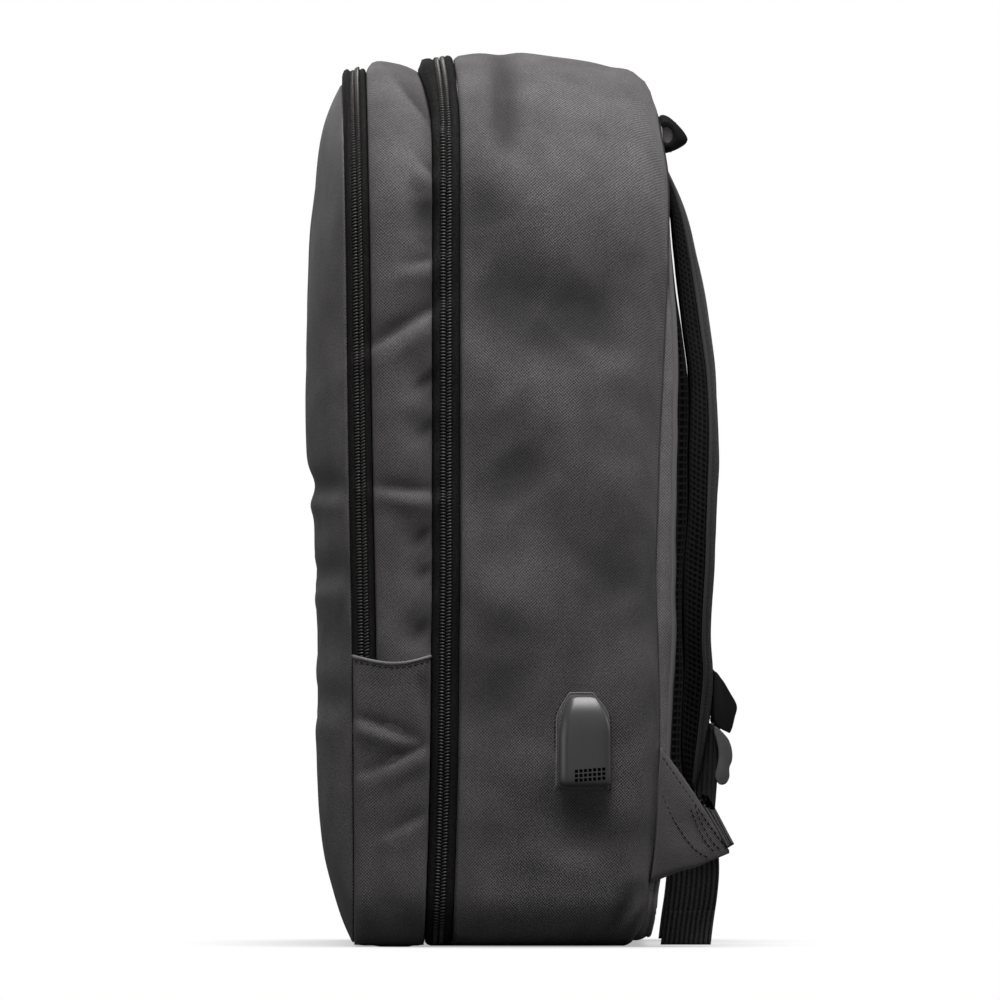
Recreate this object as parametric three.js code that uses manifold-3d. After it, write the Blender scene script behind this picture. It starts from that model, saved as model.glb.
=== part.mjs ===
// A laptop backpack that stands on its base, in millimetres: +X is the wearer's right, -Y the front, +Z up.
// The front edge of the main shell is y = 0 while the pieces are made; the whole bag is centred at the end.
import * as THREE from "three";
import { mergeVertices } from "three/addons/utils/BufferGeometryUtils.js";
import Module from "manifold-3d";

const wasm = await Module();
wasm.setup();

// Sizes of the bag
const bagHeight = 453;
const bagWidth = 300;
const shellDepth = 101;
const mainZipWidth = 14;
const gussetDepth = 33;
const frontZipWidth = 12;
const frontDepth = 21;
const topRadius = 80;
const baseRadius = 26;
const topTaper = 0.05; // share of its width that the bag loses from base to top
const topCrown = 5;
const sideBulge = 3;
const foldDepth = 4;

// Walls and clearances
const shellWall = 2.4;
const partitionWall = 1.6;
const partitionReach = 0.55; // how far the partition's last ring lies on the way to its middle
const seamGap = 0.3;
const tapeSink = 0.6; // how far the zip tape lies below the cloth beside it
const tapeThickness = 1.4;
const coilWidth = 6;
const coilRise = 1.5;

// Back panel
const panelThickness = 9;
const panelRoll = 2.8; // how far the padded edge draws in towards its rear
const padRise = 1.3;
const padTop = 0.78; // share of the bag's height that the pads reach
const padFade = 12;
const edgeFold = 5; // width of the cloth edge before the seam of the air mesh
const edgeSeamDepth = 0.6;
const edgeMargin = 9;
const channelWidth = 30;
const channelDepth = 5;
const uprightChannel = { length: 0.62, middle: 0.4 }; // shares of the bag's height
const crossChannels = { length: 0.82, heights: [0.3, 0.54] }; // shares of the bag's width and height

// Side pocket
const pocketHeight = 147;
const pocketSag = 5;
const pocketWall = 1.6;
const pocketSlack = 1.5;
const pocketEdgeLift = 0.4; // how far the pocket's sewn edges stand off the cloth below
const hemHeight = 6;
const hemRise = 0.8;

// Charging port cover, on the right side
const coverWidth = 21;
const coverHeight = 45;
const coverThickness = 5;
const coverBevel = 0.9;
const coverShoulder = 12;
const coverHeightAboveFloor = 81;
const coverFromFront = 52; // from the front edge of the main shell to the cover's front edge
const patchMargin = 5;
const patchThickness = 1.2;
const ventHole = 1.4;
const ventPitch = 2.35;
const ventColumns = 7;
const ventRows = 3;
const ventDepth = 1;
const ventFromFoot = 4.5; // from the foot of the cover to the middle of the lowest row
const coverCorner = 3;

// Top handle
const handleReach = 130;
const handleHeight = 19;
const handleThickness = 7;
const handleSlack = 7.2; // how far the middle of the loop stands off its ends
const handleBelowTop = 44; // from the top of the bag to the ends of the loop
const handleSlimmest = 0.55; // share of its thickness and height that the loop keeps at its ends
const handleDroop = 3;

// Shoulder straps
const strapStandoff = 10; // the widest gap between the strap's inner face and the back panel
const strapWidth = 62;
const strapThickness = 14;
const strapTopX = 50;
const strapFootX = 118;

// Webbing and buckles
const webbingWidth = 25.5;
const webbingThickness = 1.5;
const lockWidth = 34;
const lockBar = 4;
const lockSlots = { out: 0.2, downs: [1.36, 1.72] }; // places of the two slots, as shares of the webbing's width
const tabWidth = 27;
const tabHeightAboveFloor = 138;
const tailX = 112;

// Wings at the foot of the back
const wingTopHeight = 101.5;
const wingFootHeight = 32;
const wingTipHeight = 48.5;
const wingTipBehind = 35.6; // from the shell's rear edge to the tip
const wingTipX = 127;
const wingThickness = 2.4;
const stubShare = 0.42; // share of the wing's upper edge that carries the folded webbing
const stubThickness = 4.2;
const stubEndThickness = 2.4;
const webbingFootShare = 0.62; // where on the folded webbing the short webbing ends

// Zip sliders, on the left side
const sliderWidth = 9;
const sliderLength = 13;
const sliderThickness = 3.6;
const pullerWidth = 7;
const pullerLength = 32;
const pullerThickness = 1.8;
const pullerAbove = 2; // how far the puller runs up over the slider
const sliderHeights = { main: 0.42, front: 0.5 }; // shares of the bag's height

const handleCentreHeight = bagHeight - handleBelowTop;

// Places along the depth
const gussetRear = -mainZipWidth;
const gussetFront = gussetRear - gussetDepth;
const frontSeam = gussetFront - frontZipWidth;
const bodyDepth = shellDepth - frontSeam;

// The bag's cross-section along its depth: width and top are shares of the bag's width and height
const crossSections = [
  { along: 0.0, width: 0.92, top: 0.974 },
  { along: 0.075, width: 0.94, top: 0.989 },
  { along: 0.18, width: 0.963, top: 0.99 },
  { along: 0.28, width: 0.962, top: 0.99 },
  { along: 0.37, width: 0.97, top: 0.9945 },
  { along: 0.52, width: 0.99, top: 1.0 },
  { along: 0.68, width: 1.0, top: 0.9935 },
  { along: 0.845, width: 0.993, top: 0.983 },
  { along: 0.93, width: 0.983, top: 0.9746 },
  { along: 0.98, width: 0.973, top: 0.9536 },
  { along: 1.0, width: 0.967, top: 0.929 },
];

// How the seams swing along the depth as they climb. Height is a share of the bag's height; slant and lean
// are shares of the main zip's width, bow and panel of the shell's depth, belly of the front's depth
const seamLines = [
  { height: 0.0, slant: 0.36, lean: -0.3, bow: -0.15, panel: 0.93, belly: 0.86 },
  { height: 0.024, slant: 0.36, lean: -0.26, bow: -0.084, panel: 0.955, belly: 0.86 },
  { height: 0.07, slant: 0.36, lean: -0.2, bow: -0.05, panel: 0.99, belly: 0.86 },
  { height: 0.115, slant: 0.35, lean: -0.15, bow: -0.02, panel: 1.02, belly: 0.87 },
  { height: 0.22, slant: 0.33, lean: -0.07, bow: 0.003, panel: 1.04, belly: 0.87 },
  { height: 0.34, slant: 0.3, lean: -0.03, bow: -0.004, panel: 1.067, belly: 0.86 },
  { height: 0.42, slant: 0.25, lean: 0.0, bow: -0.013, panel: 1.068, belly: 0.89 },
  { height: 0.5, slant: 0.2, lean: 0.0, bow: -0.005, panel: 1.07, belly: 0.92 },
  { height: 0.54, slant: 0.18, lean: 0.0, bow: 0.0, panel: 1.072, belly: 1.0 },
  { height: 0.66, slant: 0.12, lean: 0.0, bow: 0.024, panel: 1.078, belly: 1.0 },
  { height: 0.775, slant: 0.08, lean: 0.0, bow: 0.048, panel: 1.045, belly: 0.9 },
  { height: 0.865, slant: 0.02, lean: 0.0, bow: 0.048, panel: 1.016, belly: 0.85 },
  { height: 0.93, slant: -0.03, lean: -0.04, bow: 0.004, panel: 1.0, belly: 0.95 },
  { height: 0.97, slant: -0.07, lean: -0.14, bow: 0.0, panel: 1.0, belly: 1.0 },
  { height: 1.0, slant: -0.09, lean: -0.29, bow: 0.0, panel: 1.0, belly: 1.0 },
];

// Folds and dents of the sides, each along a line from (along0, height0) to (along1, height1), as shares of
// the body's depth and height; spread is a share of the gusset's depth, rise of the fold depth (minus is a hollow)
const sideFolds = [
  { along0: 0.22, height0: 0.93, along1: 0.25, height1: 0.9, spread: 0.3, rise: -0.7 },
  { along0: 0.1, height0: 0.674, along1: 0.28, height1: 0.711, spread: 0.2, rise: -0.9 },
  { along0: 0.11, height0: 0.648, along1: 0.27, height1: 0.668, spread: 0.22, rise: 0.5 },
  { along0: 0.24, height0: 0.63, along1: 0.27, height1: 0.625, spread: 0.3, rise: -0.6 },
  { along0: 0.1, height0: 0.516, along1: 0.29, height1: 0.509, spread: 0.2, rise: -0.8 },
  { along0: 0.11, height0: 0.49, along1: 0.27, height1: 0.485, spread: 0.22, rise: 0.4 },
  { along0: 0.24, height0: 0.44, along1: 0.25, height1: 0.4, spread: 0.35, rise: -0.5 },
  { along0: 0.42, height0: 0.8, along1: 0.5, height1: 0.76, spread: 0.9, rise: -0.6 },
  { along0: 0.7, height0: 0.68, along1: 0.82, height1: 0.72, spread: 0.9, rise: -0.5 },
  { along0: 0.5, height0: 0.55, along1: 0.6, height1: 0.5, spread: 0.9, rise: -0.7 },
  { along0: 0.8, height0: 0.45, along1: 0.9, height1: 0.38, spread: 0.8, rise: -0.5 },
  { along0: 0.45, height0: 0.3, along1: 0.55, height1: 0.26, spread: 0.8, rise: -0.5 },
  { along0: 0.94, height0: 0.03, along1: 0.88, height1: 0.06, spread: 0.3, rise: -0.6 },
];

// Folds across the front, as shares of its half width and its height
const frontFolds = [
  { across0: -0.9, height0: 0.515, across1: 0.9, height1: 0.52, spread: 0.3, rise: -0.5 },
  { across0: -0.8, height0: 0.46, across1: 0.3, height1: 0.44, spread: 0.5, rise: -0.4 },
  { across0: 0.0, height0: 0.36, across1: 0.8, height1: 0.33, spread: 0.6, rise: -0.3 },
];

// The strap from its sewn top to its foot: height is a share of the bag's height, off of the strap's
// standoff, thick and wide of its thickness and width, swing of the way from its top x to its foot x
const strapSections = [
  { height: 0.87, off: 0.0, thick: 0.21, wide: 0.9, swing: 0.0 },
  { height: 0.843, off: 0.19, thick: 0.42, wide: 0.95, swing: 0.01 },
  { height: 0.821, off: 0.27, thick: 0.58, wide: 1.0, swing: 0.03 },
  { height: 0.779, off: 0.31, thick: 0.78, wide: 1.0, swing: 0.1 },
  { height: 0.733, off: 0.38, thick: 0.93, wide: 1.0, swing: 0.2 },
  { height: 0.687, off: 0.5, thick: 0.98, wide: 1.0, swing: 0.34 },
  { height: 0.63, off: 0.72, thick: 0.94, wide: 1.0, swing: 0.52 },
  { height: 0.543, off: 0.76, thick: 1.06, wide: 1.0, swing: 0.75 },
  { height: 0.479, off: 0.77, thick: 0.96, wide: 0.98, swing: 0.87 },
  { height: 0.424, off: 0.59, thick: 1.05, wide: 0.94, swing: 0.94 },
  { height: 0.347, off: 0.55, thick: 0.95, wide: 0.86, swing: 1.0 },
  { height: 0.305, off: 0.67, thick: 1.0, wide: 0.8, swing: 1.0 },
  { height: 0.247, off: 0.71, thick: 0.9, wide: 0.7, swing: 1.0 },
  { height: 0.199, off: 0.81, thick: 0.64, wide: 0.6, swing: 1.0 },
  { height: 0.172, off: 1.0, thick: 0.3, wide: 0.5, swing: 1.0 },
];

// The side outline of the cloth tab and of the ladder lock, out from the strap and down from the tab's top
// seam, as shares of the webbing's width
const tabOutline = [
  { out: 0.02, down: 0.0 },
  { out: 0.18, down: 0.1 },
  { out: 0.34, down: 0.36 },
  { out: 0.48, down: 0.63 },
  { out: 0.44, down: 0.86 },
  { out: 0.37, down: 1.12 },
  { out: 0.29, down: 1.16 },
  { out: 0.02, down: 0.9 },
];
const lockOutline = [
  { out: 0.06, down: 1.04 },
  { out: 0.27, down: 1.24 },
  { out: 0.355, down: 1.4 },
  { out: 0.39, down: 1.58 },
  { out: 0.38, down: 1.73 },
  { out: 0.33, down: 1.87 },
  { out: 0.33, down: 2.05 },
  { out: 0.26, down: 2.18 },
  { out: 0.14, down: 2.2 },
  { out: 0.06, down: 2.1 },
  { out: 0.05, down: 1.98 },
  { out: 0.1, down: 1.76 },
  { out: 0.11, down: 1.56 },
  { out: 0.08, down: 1.36 },
  { out: 0.02, down: 1.14 },
];

// The free end of the webbing: back is measured from the shell's rear edge as a share of the wing tip's
// distance, height as a share of the wing's top, turn as a share of a quarter turn
const tailSections = [
  { height: 0.93, back: 0.69, turn: 0.0 },
  { height: 0.83, back: 0.625, turn: 0.0 },
  { height: 0.76, back: 0.565, turn: 0.0 },
  { height: 0.69, back: 0.525, turn: 0.08 },
  { height: 0.61, back: 0.51, turn: 0.3 },
  { height: 0.53, back: 0.505, turn: 0.6 },
  { height: 0.45, back: 0.5, turn: 0.86 },
  { height: 0.36, back: 0.5, turn: 1.0 },
  { height: 0.24, back: 0.47, turn: 1.0 },
  { height: 0.12, back: 0.42, turn: 1.0 },
  { height: 0.004, back: 0.38, turn: 1.0 },
];

// The lower edge of the wing, from the seam (0) to the tip (1), as shares of the drop from tip to foot
const wingFootLine = [
  { along: 0.0, drop: 1.0 },
  { along: 0.2, drop: 0.8 },
  { along: 0.35, drop: 0.65 },
  { along: 0.56, drop: 0.52 },
  { along: 0.8, drop: 0.28 },
  { along: 1.0, drop: 0.09 },
];

// The value of a column at a place between the rows of a table
function read(rows, key, at, column) {
  const next = rows.findIndex((row, i) => i > 0 && (row[key] - at) * (row[key] - rows[0][key]) >= 0);
  const b = rows[next < 0 ? rows.length - 1 : next];
  const a = rows[(next < 0 ? rows.length : next) - 1];
  const share = (at - a[key]) / (b[key] - a[key] || 1);
  return THREE.MathUtils.lerp(a[column], b[column], THREE.MathUtils.clamp(share, 0, 1));
}

const clamp01 = (v) => THREE.MathUtils.clamp(v, 0, 1);
const sectionAt = (y, column) => read(crossSections, "along", (y - frontSeam) / bodyDepth, column);
const seamAt = (z, column) => read(seamLines, "height", z / bagHeight, column);
const topAt = (y) => bagHeight * sectionAt(y, "top");

// Moves a point of the plain bag along the depth, to follow the seams
function leaned(x, y, z) {
  const front = clamp01((gussetRear - y) / gussetDepth);
  const main = clamp01(Math.min((y - gussetFront) / gussetDepth, 1 - (2 * y) / shellDepth));
  const rear = clamp01(y / shellDepth);
  const shift =
    front * seamAt(z, "slant") * mainZipWidth +
    main * seamAt(z, "lean") * mainZipWidth +
    rear * seamAt(z, "bow") * shellDepth;
  return new THREE.Vector3(x, y + shift, z);
}

// Sums the folds near a place; across and up are distances in millimetres
function foldsAt(folds, across, up, lengthAcross, key) {
  let sum = 0;
  for (const fold of folds) {
    const a = new THREE.Vector2(fold[key + "0"] * lengthAcross, fold.height0 * bagHeight);
    const b = new THREE.Vector2(fold[key + "1"] * lengthAcross, fold.height1 * bagHeight);
    const p = new THREE.Vector2(across, up);
    const line = b.clone().sub(a);
    const share = clamp01(p.clone().sub(a).dot(line) / line.lengthSq());
    const distance = p.distanceTo(a.clone().addScaledVector(line, share));
    sum += fold.rise * foldDepth * Math.exp(-((distance / (fold.spread * gussetDepth)) ** 2));
  }
  return sum;
}

// A stop on the way round the bag's cross-section, from the middle of the base (0) up to the middle of the top
const stop = (part, share, side = 1) => ({ part, share, side });

// The point of the cross-section at a stop, with its outward direction
function rimPoint(y, { part, share }) {
  const half = (bagWidth / 2) * sectionAt(y, "width");
  const top = topAt(y);
  const angle = (share * Math.PI) / 2;
  if (part === "base") return { x: (half - baseRadius) * share, z: 0, nx: 0, nz: -1 };
  if (part === "baseCorner")
    return {
      x: half - baseRadius + baseRadius * Math.sin(angle),
      z: baseRadius * (1 - Math.cos(angle)),
      nx: Math.sin(angle),
      nz: -Math.cos(angle),
    };
  if (part === "side")
    return { x: half, z: THREE.MathUtils.lerp(baseRadius, top - topRadius, share), nx: 1, nz: 0 };
  if (part === "topCorner")
    return {
      x: half - topRadius + topRadius * Math.cos(angle),
      z: top - topRadius + topRadius * Math.sin(angle),
      nx: Math.cos(angle),
      nz: Math.sin(angle),
    };
  return { x: (half - topRadius) * (1 - share), z: top, nx: 0, nz: 1 };
}

const bulgeAt = (y) => {
  const inShell = clamp01(y / shellDepth);
  const inGusset = clamp01((y - gussetFront) / gussetDepth);
  return sideBulge * (Math.sin(Math.PI * inShell) + 0.5 * Math.sin(Math.PI * inGusset));
};

// A point of the cloth, offset outwards by some millimetres; inward draws it towards the middle of its section
function cloth(y, at, offset = 0, inward = 0) {
  const rim = rimPoint(y, at);
  const rise = Math.sin(Math.PI * clamp01(rim.z / topAt(y)));
  const folds = foldsAt(sideFolds, y - frontSeam, rim.z, bodyDepth, "along");
  const push = offset + rim.nx * (folds + bulgeAt(y) * rise) * (1 - inward);
  const crown = topCrown * (rim.x / (bagWidth / 2)) ** 2 * clamp01(rim.z / bagHeight) ** 4;
  const taper = 1 - topTaper * (rim.z / bagHeight) ** 2;
  const x = (rim.x + rim.nx * push) * taper * (1 - inward);
  const z = THREE.MathUtils.lerp(rim.z + rim.nz * push - crown, topAt(y) / 2, inward);
  return leaned(at.side * x, y, z);
}

// The stop on the side at a height
function sideStop(y, z, side = 1) {
  return stop("side", (z - baseRadius) / (topAt(y) - topRadius - baseRadius), side);
}

// Where the zips end on the base corner, and the narrow step that leaves their ends free
const zipFoot = 0.5;
const stepShare = seamGap / ((baseRadius * Math.PI) / 2);
const steps = (part, count, from = 0, to = 1) =>
  Array.from({ length: count }, (_, i) => stop(part, from + ((to - from) * i) / count));
const climb = [
  stop("base", 0.5),
  stop("baseCorner", 0),
  stop("baseCorner", zipFoot),
  stop("baseCorner", zipFoot + stepShare),
  ...steps("side", 17),
  ...steps("topCorner", 4),
  stop("top", 0),
  stop("top", 0.5),
];
const mirrored = (stops) => [...stops].reverse().map((s) => ({ ...s, side: -1 }));
const wholeLoop = [stop("base", 0), ...climb, stop("top", 1), ...mirrored(climb)];
const zipClimb = [stop("baseCorner", zipFoot + 2 * stepShare), ...climb.slice(4)];
const zipArch = [...zipClimb, stop("top", 1), ...mirrored(zipClimb)];
const isLow = ({ part, share }) => part === "base" || (part === "baseCorner" && share <= zipFoot);

// A closed surface over rings of points. Joined rings close on themselves, ladder ends are closed across a
// strip's two faces, and pole ends by a point in the middle
function skin(rings, ends) {
  const across = rings[0].length;
  const points = rings.flat();
  const faces = [];
  const at = (r, k) => (r % rings.length) * across + (k % across);
  const rows = ends === "joined" ? rings.length : rings.length - 1;
  for (let r = 0; r < rows; r++)
    for (let k = 0; k < across; k++) {
      const [a, b, c, d] = [at(r, k), at(r, k + 1), at(r + 1, k + 1), at(r + 1, k)];
      if (ends !== "poles" && k >= across / 2) faces.push(a, b, d, b, c, d);
      else faces.push(a, b, c, a, c, d);
    }
  const last = rings.length - 1;
  if (ends === "ladder")
    for (let k = 0; k < across / 2 - 1; k++) {
      const far = across - 1 - k;
      faces.push(at(0, k), at(0, far), at(0, k + 1), at(0, k + 1), at(0, far), at(0, far - 1));
      faces.push(at(last, k), at(last, k + 1), at(last, far));
      faces.push(at(last, k + 1), at(last, far - 1), at(last, far));
    }
  if (ends === "poles")
    for (const [r, turn] of [
      [0, 1],
      [last, -1],
    ]) {
      const middle = rings[r].reduce((sum, p) => sum.add(p), new THREE.Vector3()).divideScalar(across);
      const pole = points.push(middle) - 1;
      for (let k = 0; k < across; k++) {
        const [a, b] = turn > 0 ? [at(r, k + 1), at(r, k)] : [at(r, k), at(r, k + 1)];
        faces.push(pole, a, b);
      }
    }
  return facingOut(points, faces);
}

// The geometry of some faces, turned so that they face outwards
function facingOut(points, faces) {
  let volume = 0;
  for (let i = 0; i < faces.length; i += 3) {
    const [a, b, c] = [points[faces[i]], points[faces[i + 1]], points[faces[i + 2]]];
    volume += a.dot(b.clone().cross(c));
  }
  if (volume < 0) faces.reverse();
  const geometry = new THREE.BufferGeometry().setFromPoints(points);
  geometry.setIndex(faces);
  geometry.computeVertexNormals();
  return geometry;
}

// A wall between two offsets of the cloth, as a ring of points: the outer face and back along the inner one
const wallRing = (at, places, outer, inner) => [
  ...places.map((y, i) => cloth(y, at, outer(i))),
  ...places.map((y, i) => cloth(y, at, inner(i))).reverse(),
];

// A flat outline in the (y, z) plane given a width along x
function slab(outline, centreX, width) {
  const rings = [-0.5, 0.5].map((share) => outline.map((p) => new THREE.Vector3(centreX + share * width, p.y, p.z)));
  return skin(rings, "ladder");
}

// Solids for cutting and joining
function solidOf(geometry) {
  const bare = new THREE.BufferGeometry().setAttribute("position", geometry.getAttribute("position"));
  if (geometry.index) bare.setIndex(geometry.index);
  const merged = mergeVertices(bare, 1e-4);
  return new wasm.Manifold(
    new wasm.Mesh({
      numProp: 3,
      vertProperties: new Float32Array(merged.attributes.position.array),
      triVerts: new Uint32Array(merged.index.array),
    }),
  );
}

function geometryOf(solid) {
  const { vertProperties, triVerts } = solid.getMesh();
  const geometry = new THREE.BufferGeometry();
  geometry.setAttribute("position", new THREE.BufferAttribute(vertProperties, 3));
  geometry.setIndex(new THREE.BufferAttribute(triVerts, 1));
  geometry.computeVertexNormals();
  return geometry;
}

const boxAt = (sx, sy, sz, x, y, z) => new THREE.BoxGeometry(sx, sy, sz).translate(x, y, z);

// Materials
const clothGrey = new THREE.MeshStandardMaterial({ color: 0x545152, roughness: 0.9, metalness: 0 });
const lowerCloth = new THREE.MeshStandardMaterial({ color: 0x464344, roughness: 0.92, metalness: 0 });
const blackMesh = new THREE.MeshStandardMaterial({ color: 0x161616, roughness: 0.95, metalness: 0 });
const zipBlack = new THREE.MeshStandardMaterial({ color: 0x1a1a1a, roughness: 0.6, metalness: 0 });
const webbingBlack = new THREE.MeshStandardMaterial({ color: 0x1d1d1d, roughness: 0.85, metalness: 0 });
const plasticGrey = new THREE.MeshStandardMaterial({ color: 0x464646, roughness: 0.45, metalness: 0 });
const sliderMetal = new THREE.MeshStandardMaterial({ color: 0x2a2a2a, roughness: 0.4, metalness: 0.8 });

const bag = new THREE.Group();
function addPiece(name, geometry, material) {
  const mesh = new THREE.Mesh(geometry, material.clone());
  mesh.name = name;
  bag.add(mesh);
  return mesh;
}

// The main shell: a hollow band, open towards the zip and the back, whose floor runs on under the zip
function mainShell() {
  const shares = [0, 0.11, 0.25, 0.42, 0.6, 0.77, 0.89, 0.96, 1];
  const rings = wholeLoop.map((at) => {
    const front = isLow(at) ? gussetRear + seamGap : seamGap / 2;
    const places = shares.map((share) => THREE.MathUtils.lerp(front, shellDepth, share));
    return wallRing(at, places, () => 0, () => -shellWall);
  });
  return skin(rings, "joined");
}

// The second compartment: a hollow band with the wall that parts it from the main one
function middleGusset() {
  const rear = gussetRear - seamGap / 2;
  const wallShares = [0, 0.28, 0.55, 0.8, 1];
  const ringAt = (share, offset, inset) =>
    wholeLoop.map((at) => {
      const front = isLow(at) ? frontSeam + seamGap : gussetFront + seamGap / 2;
      return cloth(THREE.MathUtils.lerp(front, rear - inset, share), at, offset);
    });
  const wallAcross = (y, offset, inward) => wholeLoop.map((at) => cloth(y, at, offset, inward));
  const rings = [
    wallAcross(rear, 0, partitionReach),
    ...[...wallShares].reverse().map((share) => ringAt(share, 0, 0)),
    ...wallShares.map((share) => ringAt(share, -shellWall, partitionWall)),
    wallAcross(rear - partitionWall, -shellWall, partitionReach),
  ];
  return skin(rings, "poles");
}

// The front: a shallow hollow dome, open to the second compartment
function frontPanel() {
  const inwards = [0, 0.025, 0.07, 0.14, 0.24, 0.36, 0.52, 0.78];
  const domeShare = 0.5;
  const domePower = 3;
  const ringAt = (inward, offset, thickness) =>
    wholeLoop.map((at) => {
      const rise = 1 - (1 - clamp01(inward / domeShare)) ** domePower;
      const p = cloth(frontSeam, at, offset, inward);
      const folds = foldsAt(frontFolds, p.x, p.z, bagWidth / 2, "across");
      const depth = rise * (frontDepth * seamAt(p.z, "belly") + folds) - thickness;
      return new THREE.Vector3(p.x, p.y - depth, p.z);
    });
  const rings = [
    ...[...inwards].reverse().map((inward) => ringAt(inward, 0, 0)),
    ...inwards.map((inward) => ringAt(inward, -shellWall, inward ? shellWall : 0)),
  ];
  return skin(rings, "poles");
}

// A zip: two tapes and the raised coil between them, over the top from one foot to the other
function zip(front, rear) {
  const middle = (front + rear) / 2;
  const places = [front, middle - coilWidth / 2, middle, middle + coilWidth / 2, rear];
  const coil = (i) => (i === 2 ? coilRise : 0);
  const rings = zipArch.map((at) =>
    wallRing(at, places, (i) => coil(i) - tapeSink, () => -tapeSink - tapeThickness),
  );
  return skin(rings, "ladder");
}

// The slider and its puller, on the left side of a zip at a height
function slider(y, z) {
  const seat = cloth(y, sideStop(y, z, -1), coilRise - tapeSink + seamGap);
  const bodyBox = boxAt(sliderThickness, sliderWidth, sliderLength, -sliderThickness / 2, 0, 0);
  const pullerX = -sliderThickness - pullerThickness / 2 + pullerThickness / 3;
  const puller = boxAt(pullerThickness, pullerWidth, pullerLength, pullerX, 0, -pullerLength / 2 + pullerAbove);
  return { seat, geometry: geometryOf(solidOf(bodyBox).add(solidOf(puller))) };
}

// The low side pocket: cloth sewn down at its edges, slack between them, with a bound hem that sags
function sidePocket(side) {
  const front = frontSeam + seamGap;
  const rear = gussetRear - seamGap;
  const places = [0, 0.09, 0.3, 0.55, 0.85, 1].map((share) => THREE.MathUtils.lerp(front, rear, share));
  const slack = (i) => (i === 0 || i === places.length - 1 ? pocketEdgeLift : pocketSlack);
  const hemAt = (i, below) => {
    const share = (places[i] - front) / (rear - front);
    return pocketHeight - pocketSag * Math.sin(Math.PI * share) - below;
  };
  const low = [0.62, 0.8, 1].map((share) => places.map(() => stop("baseCorner", share, side)));
  const heights = [0.2, 0.42, 0.62, 0.82].map((share) =>
    places.map((y) => sideStop(y, THREE.MathUtils.lerp(baseRadius, pocketHeight, share), side)),
  );
  const hem = [hemHeight, hemHeight - 1, 0].map((below) => places.map((y, i) => sideStop(y, hemAt(i, below), side)));
  const rows = [...low, ...heights, ...hem];
  const rings = rows.map((row, r) => {
    const extra = r >= rows.length - 2 ? hemRise : 0;
    return [
      ...row.map((at, i) => cloth(places[i], at, slack(i) + pocketWall + extra)),
      ...row.map((at, i) => cloth(places[i], at, slack(i))).reverse(),
    ];
  });
  return skin(rings, "ladder");
}

// Distances along the depth: the panel's rear edge, the strap's two faces, and how far the pads stand out
const strapAt = (z, column) => read(strapSections, "height", z / bagHeight, column);
const panelEdgeY = (z) => shellDepth * seamAt(z, "panel");
const strapInnerY = (z) => panelEdgeY(z) + seamGap + strapStandoff * strapAt(z, "off");
const strapOuterY = (z) => strapInnerY(z) + strapThickness * strapAt(z, "thick");
const padRiseAt = (z) => padRise * clamp01((padTop - z / bagHeight) * padFade);

// The padded back: it fits inside the shell's rear edge, rolls in and carries three pads parted by channels
function backPanel() {
  const rim = shellDepth;
  const fit = -shellWall - seamGap;
  const ringAt = (behind, offset, inward, rise) =>
    wholeLoop.map((at) => {
      const p = cloth(rim, at, offset, inward);
      return new THREE.Vector3(p.x, panelEdgeY(p.z) - behind + rise * padRiseAt(p.z), p.z);
    });
  const rings = [
    ringAt(panelThickness, fit, 0.5, 0),
    ringAt(panelThickness, fit, 0, 0),
    ringAt(panelThickness * 0.6, fit, 0, 0),
    ringAt(0, fit - panelRoll, 0, 0),
    ringAt(edgeSeamDepth, fit - panelRoll - edgeFold, 0, 0),
    ringAt(0, fit - panelRoll - edgeMargin, 0, 1),
    ringAt(0, fit, 0.3, 1),
    ringAt(0, fit, 0.65, 1),
  ];
  const reach = panelEdgeY(bagHeight / 2) + padRiseAt(bagHeight / 2);
  const radius = (channelDepth ** 2 + (channelWidth / 2) ** 2) / (2 * channelDepth);
  const channel = (length) => new THREE.CylinderGeometry(radius, radius, length, 40);
  const offset = reach - channelDepth + radius;
  const upright = channel(bagHeight * uprightChannel.length)
    .rotateX(Math.PI / 2)
    .translate(0, offset, bagHeight * uprightChannel.middle);
  let solid = solidOf(skin(rings, "poles")).subtract(solidOf(upright));
  for (const share of crossChannels.heights)
    solid = solid.subtract(
      solidOf(channel(bagWidth * crossChannels.length).rotateZ(Math.PI / 2).translate(0, offset, bagHeight * share)),
    );
  return geometryOf(solid);
}

// The stitched patch under the port cover, and the cover with its vent
const coverMiddleY = coverFromFront + coverWidth / 2;
const coverMiddleZ = coverHeightAboveFloor + coverHeight / 2;
const patchLift = 0.5;

function coverPatch() {
  const halfWidth = coverWidth / 2 + patchMargin;
  const halfHeight = coverHeight / 2 + patchMargin;
  const places = [-1, -0.5, 0.5, 1].map((share) => coverMiddleY + share * halfWidth);
  const rings = [-1, -0.85, 0, 0.85, 1].map((up) => {
    const narrower = Math.abs(up) === 1 ? 0.85 : 1;
    const along = places.map((y) => coverMiddleY + (y - coverMiddleY) * narrower);
    const stops = along.map((y) => sideStop(y, coverMiddleZ + up * halfHeight));
    return [
      ...along.map((y, i) => cloth(y, stops[i], patchLift + patchThickness)),
      ...along.map((y, i) => cloth(y, stops[i], patchLift)).reverse(),
    ];
  });
  return skin(rings, "ladder");
}

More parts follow.
